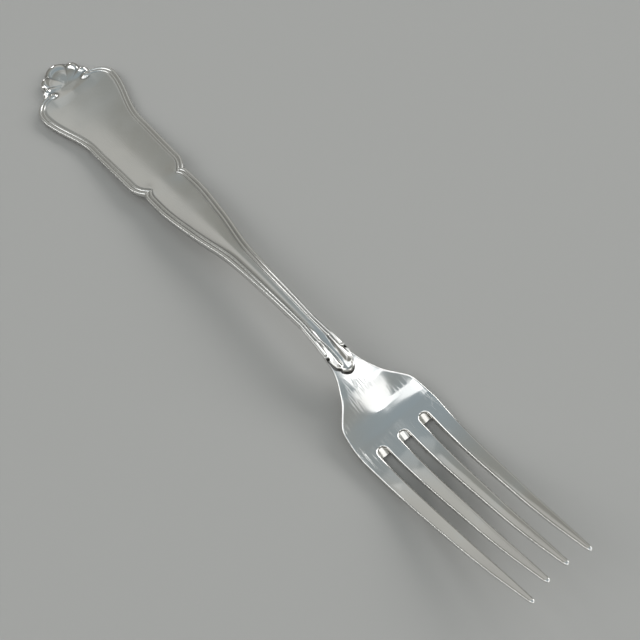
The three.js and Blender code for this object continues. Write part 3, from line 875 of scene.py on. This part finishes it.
    def finger(self, x, across):
        """1 on a finger's crest, fading out to its sides and round its ends."""
        start, end = self.fingers_x, X_DROP_END - FINGER_TIP
        places = (start, (start + end) / 2, end)
        middle = curve_through(*zip(places, FINGER_MIDDLES))(x)
        radius = curve_through(*zip(places, FINGER_RADII))(x)
        past = np.maximum(0.0, np.maximum(start - x, x - end))
        out = np.hypot(past, across - middle) / radius
        return clamp(FINGER_TOP - np.hypot(out, FINGER_SOFTNESS))

    def drop_recess(self, x, y, z):
        """How dark the drop is at a point: its outer wall, its pits and the lines beside its threads."""
        past = x - self.threads_x
        low = smoothstep(self.drop_top(x, y) - z, *WALL_FALL)
        wall = np.maximum(self.drop_gap(x, y) < WALL_GAP, low) * smoothstep(past, *WALL_RUN)
        pit = clamp(PIT_STRENGTH * (1.0 - np.hypot(*self.from_pit(x, y)) / PIT_STAIN))
        lines = DROP_LINE_STRENGTH * groove_lines(self.side_inset(x, y), DROP_FOOT_SHARE, DROP_LINE_WIDTH)
        lines = lines * (1.0 - smoothstep(past, *DROP_LINE_RUN))
        return clamp(np.maximum(np.maximum(wall, pit), lines))


# Meshes: short first and last steps, so that the shading runs on over the seams, and the weld's reach
HAIR = 0.0001 * MM
SEAM = 0.02 * MM
WELD = 0.0005 * MM

# Wear: where the palm's starts and the tines' begins, and how much of the palm's the tines show
PALM_WEAR_FADE = 2 * MM
TINE_WEAR_FADE = 5 * MM
TINE_WEAR = 0.15


def spread(*stretches):
    """Places along the fork: stretches (from, to, steps) one after the other."""
    runs = [np.linspace(start, end, steps + 1) for start, end, steps in stretches]
    places = np.concatenate([run if i == 0 else run[1:] for i, run in enumerate(runs)])
    start, end = places[0], places[-1]
    return np.concatenate([[start + HAIR, start + SEAM], places[1:-1], [end - SEAM, end - HAIR]])


def joined_rings(along, ys, under, top):
    """Rings counter-clockwise seen from +X, along the back and then over the front."""
    back = np.stack([along, ys, under], axis=-1)
    front = np.stack([along, ys, top], axis=-1)[:, ::-1]
    return np.concatenate([back, front], axis=1)


def ring_points(x, ys, under, top):
    """The same from functions for the back's and the front's height. ys holds a row for each place."""
    along = np.broadcast_to(x[:, None], ys.shape)
    return joined_rings(along, ys, under(along, ys), top(along, ys))


def add_object(name, data):
    """An object with that data, linked into the scene."""
    thing = bpy.data.objects.new(name, data)
    bpy.context.scene.collection.objects.link(thing)
    return thing


class Skin:
    """Collects the vertices and faces of one piece."""

    def __init__(self):
        self.points = []
        self.faces = []
        self.smooth = []

    def add_points(self, points):
        """Adds a grid of points and gives their vertex numbers."""
        start = len(self.points)
        self.points.extend(map(tuple, points.reshape(-1, 3)))
        return np.arange(start, len(self.points)).reshape(points.shape[:2])

    def add_rings(self, rings, start_cap=True, end_cap=True):
        """A skin over rings of points, with a flat face at either end where asked."""
        index = self.add_points(rings)
        self.add_grid(np.concatenate([index, index[:, :1]], axis=1).T)
        if start_cap:
            self.add_faces([index[0, ::-1].tolist()], smooth=False)
        if end_cap:
            self.add_faces([index[-1].tolist()], smooth=False)

    def add_grid(self, index, flip=False, smooth=True):
        """Faces over a grid of vertex numbers."""
        corners = index[:-1, :-1], index[1:, :-1], index[1:, 1:], index[:-1, 1:]
        quads = np.stack(corners, axis=-1).reshape(-1, 4)
        self.add_faces((quads[:, ::-1] if flip else quads).tolist(), smooth)

    def add_faces(self, faces, smooth=True):
        """Faces by their vertex numbers."""
        self.faces.extend(faces)
        self.smooth.extend([smooth] * len(faces))

    def marks(self, recess):
        """What the finish needs at each vertex: how worn it is and how deep it lies in the ornament."""
        points = np.array(self.points)
        x = points[:, 0]
        palm = smoothstep(x, X_DROP_END - PALM_WEAR_FADE, X_DROP_END + PALM_WEAR_FADE)
        tines = smoothstep(x, X_TINES - TINE_WEAR_FADE, X_TINES + TINE_WEAR_FADE)
        marks = {"wear": np.where(x < X_NECK, 1.0, palm * mix(1.0, TINE_WEAR, tines))}
        if recess is not None:
            marks["recess"] = recess(*points.T)
        return marks

    def make(self, name, node, part, fork, recess=None, polish=None):
        """Turns the skin into a piece that stands for a node of the frame."""
        mesh = bpy.data.meshes.new(name)
        mesh.from_pydata(self.points, [], self.faces)
        mesh.polygons.foreach_set("use_smooth", self.smooth)
        for mark, values in self.marks(recess).items():
            mesh.attributes.new(mark, "FLOAT", "POINT").data.foreach_set("value", values.astype(np.float32))
        welded = bmesh.new()
        welded.from_mesh(mesh)
        bmesh.ops.remove_doubles(welded, verts=welded.verts, dist=WELD)
        bmesh.ops.recalc_face_normals(welded, faces=welded.faces)
        for edge in welded.edges:
            edge.smooth = all(face.smooth for face in edge.link_faces)
        welded.to_mesh(mesh)
        welded.free()
        mesh.materials.append(silver_material(polish or part, fork.finish))
        piece = add_object(name, mesh)
        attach(piece, "root")
        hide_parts(node)


class FORK_OT_shell(bpy.types.Operator):
    """Build the fluted shell at the handle's end"""

    bl_idname = "fork.shell"
    bl_label = "Shell"

    TURN_STEPS = 240
    OUT_STEPS = 60

    def execute(self, context):
        fork = context.scene.fork
        shape = ForkShape(fork)
        turn = np.linspace(-math.pi / 2, math.pi / 2, self.TURN_STEPS + 1)[:, None]
        out = np.linspace(0.0, 1.0, self.OUT_STEPS + 1)[None, :]
        turn, out = np.broadcast_arrays(turn, out)
        reach = out * shape.shell_reach(turn)
        x = X_PLATE - reach * np.abs(np.cos(turn)) * (np.abs(turn) < math.pi / 2)
        y = reach * np.sin(turn)
        skin = Skin()
        top = skin.add_points(np.stack([x, y, shape.shell_top(turn, out)], axis=-1))
        back = skin.add_points(np.stack([x, y, shape.shell_under(x, out)], axis=-1))
        skin.add_grid(top[:, 1:])
        skin.add_grid(back[:, 1:], flip=True)
        skin.add_grid(np.stack([top[:, -1], back[:, -1]], axis=1))
        for side, flip in ((0, True), (-1, False)):
            skin.add_grid(np.stack([top[side], back[side]], axis=1), flip, smooth=False)
        for i in range(self.TURN_STEPS):
            skin.add_faces([[top[0, 0], top[i, 1], top[i + 1, 1]]])
            skin.add_faces([[back[0, 0], back[i + 1, 1], back[i, 1]]])
        skin.make("fluted_shell", "shell_terminal", "handle", fork, shape.shell_recess, "shell")
        return {"FINISHED"}


class FORK_OT_handle(bpy.types.Operator):
    """Build the plate, shoulders and stem with their double-thread border"""

    bl_idname = "fork.handle"
    bl_label = "Threaded handle"

    BORDER_STEPS = 36
    PANEL_STEPS = 18
    EDGE_CROWDING = 0.25

    def execute(self, context):
        fork = context.scene.fork
        shape = ForkShape(fork)
        plate = ((X_PLATE, shape.ear_x, 64), (shape.ear_x, shape.lobe_x, 110), (shape.lobe_x, X_NOTCH, 40))
        shoulders = ((X_NOTCH, shape.low_lobe_x, 24), (shape.low_lobe_x, X_STEM, 60))
        stem = ((X_STEM, X_NECK, 110),)
        for name, node, stretches in (
            ("threaded_plate", "handle_plate", plate),
            ("threaded_shoulders", "handle_shoulders", shoulders),
            ("threaded_stem", "stem", stem),
        ):
            x = spread(*stretches)
            skin = Skin()
            skin.add_rings(ring_points(x, self.rows(shape, x), shape.handle_under, shape.handle_top))
            skin.make(name, node, "handle", fork, shape.handle_recess)
        return {"FINISHED"}

    def rows(self, shape, x):
        """Places across the handle at each place along it, closer together on the border."""
        half = shape.half_width(x)[:, None]
        border = shape.border_width(x)[:, None]
        over = np.linspace(0.0, 1.0, self.BORDER_STEPS + 1)
        over = mix(over, over**2, self.EDGE_CROWDING)
        inside = np.linspace(0.0, 1.0, self.PANEL_STEPS + 1)[1:]
        right = np.concatenate([half - border * over, (half - border) * (1.0 - inside)], axis=1)
        return np.concatenate([-right, right[:, -2::-1]], axis=1)


class FORK_OT_neck(bpy.types.Operator):
    """Build the arched neck and the drop with its fingers"""

    bl_idname = "fork.neck"
    bl_label = "Neck and drop"

    ROW_STEPS = 72
    CARVED_LENGTH = 9 * MM
    ROUND_LENGTH = 1 * MM
    SEAT_DEPTH = 0.3 * MM

    def execute(self, context):
        fork = context.scene.fork
        shape = ForkShape(fork)
        x = spread((X_NECK, X_DROP_END, 60), (X_DROP_END, X_PALM, 16))
        row = np.sin(np.linspace(-math.pi / 2, math.pi / 2, self.ROW_STEPS + 1))
        skin = Skin()
        skin.add_rings(ring_points(x, shape.half_width(x)[:, None] * row, shape.palm_under, shape.palm_top))
        skin.make("arched_neck", "neck", "head", fork)
        self.build_drop(shape, fork)
        return {"FINISHED"}

    def build_drop(self, shape, fork):
        """The drop, which is sunk a little into the neck."""
        carved = X_DROP_END - self.CARVED_LENGTH
        rounded = X_DROP_END - self.ROUND_LENGTH
        x = spread((X_NECK, carved, 40), (carved, rounded, 100), (rounded, X_DROP_END, 20))
        ys = shape.drop_half(x)[:, None] * np.linspace(-1.0, 1.0, 2 * self.ROW_STEPS + 1)

        def seat(x, y):
            return shape.palm_top(x, y) - self.SEAT_DEPTH

        skin = Skin()
        skin.add_rings(ring_points(x, ys, seat, shape.drop_top))
        skin.make("tongued_drop", "neck_drop", "head", fork, shape.drop_recess)


STRIP_STEPS = 26
STRIP_CROWDING = 0.85


def strip_rows(left, right):
    """Places across a tine or its root, from edge to edge, closer together near the edges."""
    even = np.linspace(-1.0, 1.0, STRIP_STEPS + 1)
    shares = 0.5 + 0.5 * mix(even, np.sin(even * math.pi / 2), STRIP_CROWDING)
    return left[:, None] + (right - left)[:, None] * shares


class FORK_OT_palm(bpy.types.Operator):
    """Build the dished palm with the round roots of its slots"""

    bl_idname = "fork.palm"
    bl_label = "Palm"

    ROOT_LENGTH = 1 * MM
    ARC_STEPS = 20
    ROOT_STEPS = 9
    SLOPE_STEPS = 9
    SLOPE_ROW_STEPS = 12
    # The slopes in the slots' roots reach a little into the palm, and are hollow
    SLOPE_BACK = 0.1 * MM
    SLOPE_LAP = 0.05 * MM
    SLOPE_END = 0.02 * MM
    SLOPE_HOLLOW = 0.09 * MM

    def execute(self, context):
        fork = context.scene.fork
        shape = ForkShape(fork)
        roots = shape.roots_x
        strips = [strip_rows(*shape.tine_edges(index, np.array([roots])))[0] for index in range(TINE_COUNT)]
        row = np.concatenate([strips[0]] + [strip[1:] for strip in strips[1:]])
        x = spread((X_PALM, roots - self.ROOT_LENGTH, 60), (roots - self.ROOT_LENGTH, roots, 16))
        x[-2:] = roots - SEAM, roots
        ys = shape.half_width(x)[:, None] / shape.half_width(np.array(roots)) * row
        skin = Skin()
        skin.add_rings(ring_points(x, ys, shape.palm_under, shape.palm_top), end_cap=False)
        turn = np.linspace(0.0, math.pi / 2, self.ARC_STEPS + 1)
        arc = roots + fork.tines.slot_width / 2 * (1.0 - np.cos(turn))
        x = np.concatenate([arc, np.linspace(arc[-1], X_TINES, self.ROOT_STEPS + 1)[1:]])
        for index in range(TINE_COUNT):
            ys = strip_rows(*shape.tine_edges(index, x))
            skin.add_rings(ring_points(x, ys, shape.palm_under, shape.palm_top), start_cap=False)
        for middle in shape.slot_middles():
            self.add_slope(skin, shape, middle)
        skin.make("dished_palm", "palm", "head", fork)
        return {"FINISHED"}

    def add_slope(self, skin, shape, middle):
        """The slope in a slot's root, which falls from its round upper edge to its lower one."""
        roots = shape.roots_x
        radius = shape.tines.slot_width / 2
        slope = shape.tines.slot_slope
        x = np.linspace(roots - self.SLOPE_BACK, roots + slope, self.SLOPE_STEPS + 1)
        row = middle + (radius + self.SLOPE_LAP) * np.linspace(-1.0, 1.0, self.SLOPE_ROW_STEPS + 1)
        ys = np.broadcast_to(row, (x.size, row.size))
        start = shape.palm_top(np.array(roots), np.array(middle)) - self.SLOPE_LAP
        end = shape.palm_under(np.array(x[-1]), np.array(middle)) + self.SLOPE_END

        def floor(x, y):
            return mix(start, end, (x - roots) / slope) + self.SLOPE_HOLLOW * ((y - middle) / radius) ** 2

        skin.add_rings(ring_points(x, ys, shape.palm_under, floor))


class FORK_OT_tines(bpy.types.Operator):
    """Build the four tapering tines"""

    bl_idname = "fork.tines"
    bl_label = "Tines"

    ALONG_STEPS = 120
    TIP_STEPS = 11

    def execute(self, context):
        fork = context.scene.fork
        shape = ForkShape(fork)
        tip_round = fork.tines.tip_round
        for index in range(TINE_COUNT):
            end = shape.tine_end(index)
            straight = spread((X_TINES, end - tip_round, self.ALONG_STEPS))[:-2]
            tip = end - tip_round * (1.0 - np.sin(np.linspace(0.0, math.pi / 2, self.TIP_STEPS + 1)))
            x = np.concatenate([straight, tip])
            ys = strip_rows(*shape.tine_edges(index, x))
            skin = Skin()
            skin.add_rings(shape.tine_rings(index, x, ys))
            skin.make(f"tapered_tine_{index + 1}", f"tine_{index + 1}", "head", fork)
        return {"FINISHED"}


# Materials

# Scratches: degrees from the fork's axis, length and spacing of the lines, and where their noise is read
SCRATCHES = ((14, 22 * MM, 1.1 * MM, 1.0), (-18, 14 * MM, 1.7 * MM, 4.0), (40, 10 * MM, 2.0 * MM, 9.0))
STREAKS = (12, 16 * MM, 0.25 * MM, 6.0)
STREAK_HEIGHT = 0.05
NOISE_MIDDLE = 0.5
# Clouds of noise: how many to the metre, how much detail and how rough
PATCHES = (160.0, 2.0)
DARK_CLOUDS = (420.0, 4.0, 0.6)
SMUDGES = (95.0, 3.0)
# Ranges that a ramp takes, and what it makes of them where that isn't 0 to 1
LINE_RANGE = (0.0, 0.03, 1.0, 0.0)
PATCH_RANGE = (0.46, 0.58)
UPWARD_RANGE = (0.80, 0.92)
DARK_RANGE = (0.3, 0.7, 0.9, 1.2)
SMUDGE_RANGE = (0.3, 0.7, 0.75, 1.35)
# Depth of the scratches, and how much duller scratches and tarnish are
SCRATCH_DEPTH = 0.015 * MM
SCRATCH_ROUGHNESS = 0.4
TARNISH_ROUGHNESS = 0.3

# Sockets of the two shader groups: what goes in and what comes out
TARNISH_SOCKETS = (
    {"Silver": "Color", "Tarnish": "Color", "Amount": "Float", "Polish": "Float"},
    {"Color": "Color", "Roughness": "Float"},
)
SCRATCH_SOCKETS = ({"Amount": "Float"}, {"Scratches": "Float", "Height": "Float"})


def add_node(tree, kind, inputs=(), **settings):
    """A node of that kind, with its settings. Its inputs are values, or other nodes' outputs to link."""
    node = tree.nodes.new(kind)
    for key, value in settings.items():
        setattr(node, key, value)
    for key, value in dict(inputs).items():
        if isinstance(value, bpy.types.NodeSocket):
            tree.links.new(value, node.inputs[key])
        else:
            node.inputs[key].default_value = value
    return node


def calc(tree, operation, *values, **settings):
    """The result of one calculation."""
    return add_node(tree, "ShaderNodeMath", enumerate(values), operation=operation, **settings).outputs[0]


def ramp(tree, value, low, high, start=0.0, end=1.0):
    """Goes from start to end while the value goes from low to high."""
    inputs = {"Value": value, "From Min": low, "From Max": high, "To Min": start, "To Max": end}
    return add_node(tree, "ShaderNodeMapRange", inputs).outputs["Result"]


def noise(tree, coords, scale, detail, roughness=0.5):
    """Cloudy noise, with this many clouds to the metre."""
    inputs = {"Vector": coords, "Scale": scale, "Detail": detail, "Roughness": roughness}
    return add_node(tree, "ShaderNodeTexNoise", inputs).outputs["Fac"]


def stretched_noise(tree, coords, degrees, along, across, seed):
    """Noise drawn out in one direction across the fork's front."""
    place = add_node(tree, "ShaderNodeMapping", {
        "Vector": coords,
        "Location": (seed, seed, seed),
        "Rotation": (0, 0, math.radians(degrees)),
        "Scale": (1 / along, 1 / across, 1 / along),
    })
    return noise(tree, place.outputs["Vector"], scale=1.0, detail=0.0)


def scratch_lines(tree, coords, layer):
    """Fine straight lines of about the same direction: 1 on a line and 0 beside it."""
    off = calc(tree, "SUBTRACT", stretched_noise(tree, coords, *layer), NOISE_MIDDLE)
    return ramp(tree, calc(tree, "ABSOLUTE", off), *LINE_RANGE)


def use_scratches(tree, given):
    """Scratches from use in three directions, and the fine streaks of polishing, on what faces up."""
    coords = add_node(tree, "ShaderNodeTexCoord").outputs["Object"]
    lines = scratch_lines(tree, coords, SCRATCHES[0])
    for layer in SCRATCHES[1:]:
        lines = calc(tree, "MAXIMUM", lines, scratch_lines(tree, coords, layer))
    patches = ramp(tree, noise(tree, coords, *PATCHES), *PATCH_RANGE)
    kept = calc(tree, "MULTIPLY", lines, patches)
    normal = add_node(tree, "ShaderNodeNewGeometry").outputs["Normal"]
    facing = add_node(tree, "ShaderNodeSeparateXYZ", {"Vector": normal}).outputs["Z"]
    wear = add_node(tree, "ShaderNodeAttribute", attribute_name="wear").outputs["Fac"]
    worn = calc(tree, "MULTIPLY", ramp(tree, facing, *UPWARD_RANGE), wear)
    amount = calc(tree, "MULTIPLY", worn, given["Amount"])
    streaks = calc(tree, "MULTIPLY", stretched_noise(tree, coords, *STREAKS), STREAK_HEIGHT)
    height = calc(tree, "SUBTRACT", streaks, kept)
    return {
        "Scratches": calc(tree, "MULTIPLY", kept, amount),
        "Height": calc(tree, "MULTIPLY", height, amount),
    }


def hollow_tarnish(tree, given):
    """Silver darkened in the hollows and clouded by handling."""
    coords = add_node(tree, "ShaderNodeTexCoord").outputs["Object"]
    hollow = add_node(tree, "ShaderNodeAttribute", attribute_name="recess").outputs["Fac"]
    uneven = ramp(tree, noise(tree, coords, *DARK_CLOUDS), *DARK_RANGE)
    dark = calc(tree, "MULTIPLY", hollow, uneven, use_clamp=True)
    held = calc(tree, "MULTIPLY", dark, given["Amount"])
    colours = {"Factor": held, "A": given["Silver"], "B": given["Tarnish"]}
    tint = add_node(tree, "ShaderNodeMix", colours, data_type="RGBA")
    smudges = ramp(tree, noise(tree, coords, *SMUDGES), *SMUDGE_RANGE)
    polish = calc(tree, "MULTIPLY", smudges, given["Polish"])
    dull = calc(tree, "MULTIPLY_ADD", held, TARNISH_ROUGHNESS, polish)
    return {"Color": tint.outputs["Result"], "Roughness": dull}


def shader_group(build, inputs, outputs):
    """The shader group that a function builds, made once, with its sockets' names and kinds."""
    name = build.__name__
    if name in bpy.data.node_groups:
        return bpy.data.node_groups[name]
    tree = bpy.data.node_groups.new(name, "ShaderNodeTree")
    for in_out, sockets in (("INPUT", inputs), ("OUTPUT", outputs)):
        for label, kind in sockets.items():
            tree.interface.new_socket(label, in_out=in_out, socket_type=f"NodeSocket{kind}")
    given = add_node(tree, "NodeGroupInput").outputs
    add_node(tree, "NodeGroupOutput", build(tree, given))
    return tree


def silver_material(part, finish):
    """Worn silver for the handle, the shell or the head, made once."""
    name = f"worn_{part}_silver"
    if name in bpy.data.materials:
        return bpy.data.materials[name]
    material = bpy.data.materials.new(name)
    material.use_nodes = True
    tree = material.node_tree
    tarnish = add_node(tree, "ShaderNodeGroup", {
        "Silver": (*finish.silver, 1.0),
        "Tarnish": (*finish.tarnish, 1.0),
        "Amount": getattr(finish, f"{part}_tarnish"),
        "Polish": getattr(finish, f"{part}_roughness"),
    }, node_tree=shader_group(hollow_tarnish, *TARNISH_SOCKETS)).outputs
    scratches = add_node(tree, "ShaderNodeGroup", {
        "Amount": getattr(finish, f"{part}_scratches"),
    }, node_tree=shader_group(use_scratches, *SCRATCH_SOCKETS)).outputs
    rough = calc(tree, "MULTIPLY_ADD", scratches["Scratches"], SCRATCH_ROUGHNESS, tarnish["Roughness"])
    bump = add_node(tree, "ShaderNodeBump", {
        "Strength": 1.0, "Distance": SCRATCH_DEPTH, "Height": scratches["Height"],
    })
    shader = tree.nodes["Principled BSDF"]
    shader.inputs["Metallic"].default_value = 1.0
    tree.links.new(tarnish["Color"], shader.inputs["Base Color"])
    tree.links.new(rough, shader.inputs["Roughness"])
    tree.links.new(bump.outputs["Normal"], shader.inputs["Normal"])
    return material


# Stage

class FORK_OT_stage(bpy.types.Operator):
    """Lay the pale table, hang the soft lights and set up the camera"""

    bl_idname = "fork.stage"
    bl_label = "Stage"

    # How bright the fill light's fading end is against it
    FILL_END = 0.5

    def execute(self, context):
        stage = context.scene.fork.stage
        self.table(stage)
        self.light(context, "key_light", stage.key, (0.61, 0.19), (13.5, 50), oval=True)
        self.light(context, "wing_light", stage.wing, (0.29, -0.02), (30, 12), roll=-22)
        self.light(context, "fill_light", stage.fill, (-0.715, 0.345), (20, 27))
        self.light(context, "fill_end_light", self.FILL_END * stage.fill, (-0.45, 0.30), (24, 12), roll=25)
        self.light(context, "front_light", stage.front, (0.25, -0.55), (50, 50))
        self.light(context, "window_light", stage.window, (0.20, 0.81), (22, 64))
        self.light(context, "left_light", stage.side, (-0.35, -0.56), (28, 30))
        self.light(context, "edge_light", stage.edge, (-0.60, -0.755), (9, 20))
        self.light(context, "back_light", stage.back, (-0.96, 0.17), (4, 4))
        self.sky(context, stage)
        self.camera(context, stage)
        context.scene.view_settings.view_transform = "Standard"
        return {"FINISHED"}

    @staticmethod
    def table(stage):
        """A plain pale table under the fork."""
        mesh = bpy.data.meshes.new("table")
        half = stage.table_size / 2
        corners = [(-half, -half, 0), (half, -half, 0), (half, half, 0), (-half, half, 0)]
        mesh.from_pydata(corners, [], [(0, 1, 2, 3)])
        table = add_object("table", mesh)
        material = bpy.data.materials.new("pale_table")
        material.use_nodes = True
        shader = material.node_tree.nodes["Principled BSDF"]
        shader.inputs["Base Color"].default_value = (*stage.table, 1.0)
        shader.inputs["Roughness"].default_value = 0.8
        shader.inputs["Specular IOR Level"].default_value = 0.2
        mesh.materials.append(material)

    @staticmethod
    def light(context, name, bright, way, spread_degrees, roll=0, oval=False):
        """A soft light over the fork's neck, given by the X and Y of the direction to it, by the degrees
        that it covers across and along the fork, and by those that it is rolled."""
        distance = context.scene.fork.stage.light_distance
        towards = Vector((*way, math.sqrt(1.0 - way[0] ** 2 - way[1] ** 2)))
        across = (Vector((0, 1, 0)) - towards * towards.y).normalized()
        across = Matrix.Rotation(math.radians(roll), 3, towards) @ across
        lamp = bpy.data.lights.new(name, "AREA")
        lamp.shape = "ELLIPSE" if oval else "RECTANGLE"
        halves = [math.tan(math.radians(degrees / 2)) for degrees in spread_degrees]
        lamp.size, lamp.size_y = (2 * distance * half for half in halves)
        area = lamp.size * lamp.size_y * (math.pi / 4 if oval else 1.0)
        lamp.energy = math.pi * area * bright
        turn = Matrix((across, towards.cross(across), towards)).transposed().to_4x4()
        place = Matrix.Translation(Vector((X_NECK, 0, 0)) + distance * towards)
        add_object(name, lamp).matrix_world = place @ turn

    @staticmethod
    def sky(context, stage):
        """Even light all round that dims towards the horizon."""
        world = bpy.data.worlds.new("soft_sky")
        world.use_nodes = True
        tree = world.node_tree
        way = add_node(tree, "ShaderNodeTexCoord").outputs["Generated"]
        height = add_node(tree, "ShaderNodeSeparateXYZ", {"Vector": way}).outputs["Z"]
        shade = add_node(tree, "ShaderNodeValToRGB", {"Fac": height})
        stops = shade.color_ramp.elements
        stops.new(stage.wall_height)
        for stop, tone in zip(stops, (stage.horizon, stage.wall, stage.sky)):
            stop.color = (*tone, 1.0)
        tree.links.new(shade.outputs["Color"], tree.nodes["Background"].inputs["Color"])
        context.scene.world = world

    @staticmethod
    def camera(context, stage):
        """The camera at the photograph's place and angle."""
        lens = bpy.data.cameras.new("camera")
        lens.sensor_width = 36.0
        lens.lens = stage.lens
        lens.clip_start = 0.01
        camera = add_object("camera", lens)
        forward = Vector(stage.camera_aim).normalized()
        right = Vector(stage.camera_right).normalized()
        turn = Matrix((right, right.cross(forward), -forward)).transposed().to_4x4()
        camera.matrix_world = Matrix.Translation(stage.camera_place) @ turn
        context.scene.camera = camera


class FORK_PT_panel(bpy.types.Panel):
    """Lists the fork's settings and the operators that build it"""

    bl_idname = "FORK_PT_panel"
    bl_label = "Dinner fork"
    bl_space_type = "VIEW_3D"
    bl_region_type = "UI"
    bl_category = "Fork"

    def draw(self, context):
        fork = context.scene.fork
        for operator in OPERATORS:
            self.layout.operator(operator.bl_idname)
        for group in ("outline", "profile", "relief", "tines", "finish", "stage"):
            box = self.layout.box()
            box.label(text=group.capitalize())
            settings = getattr(fork, group)
            for key in settings.__annotations__:
                box.prop(settings, key)


GROUPS = (ForkOutline, ForkProfile, ForkRelief, ForkTines, ForkFinish, ForkStage, ForkSettings)
OPERATORS = (FORK_OT_shell, FORK_OT_handle, FORK_OT_neck, FORK_OT_palm, FORK_OT_tines, FORK_OT_stage)
CLASSES = (*GROUPS, *OPERATORS, FORK_PT_panel)


def register():
    for cls in CLASSES:
        bpy.utils.register_class(cls)
    bpy.types.Scene.fork = PointerProperty(type=ForkSettings)


def unregister():
    del bpy.types.Scene.fork
    for cls in reversed(CLASSES):
        bpy.utils.unregister_class(cls)


def main():
    register()
    bpy.ops.fork.shell()
    bpy.ops.fork.handle()
    bpy.ops.fork.neck()
    bpy.ops.fork.palm()
    bpy.ops.fork.tines()
    bpy.ops.fork.stage()


if __name__ == "__main__":
    main()
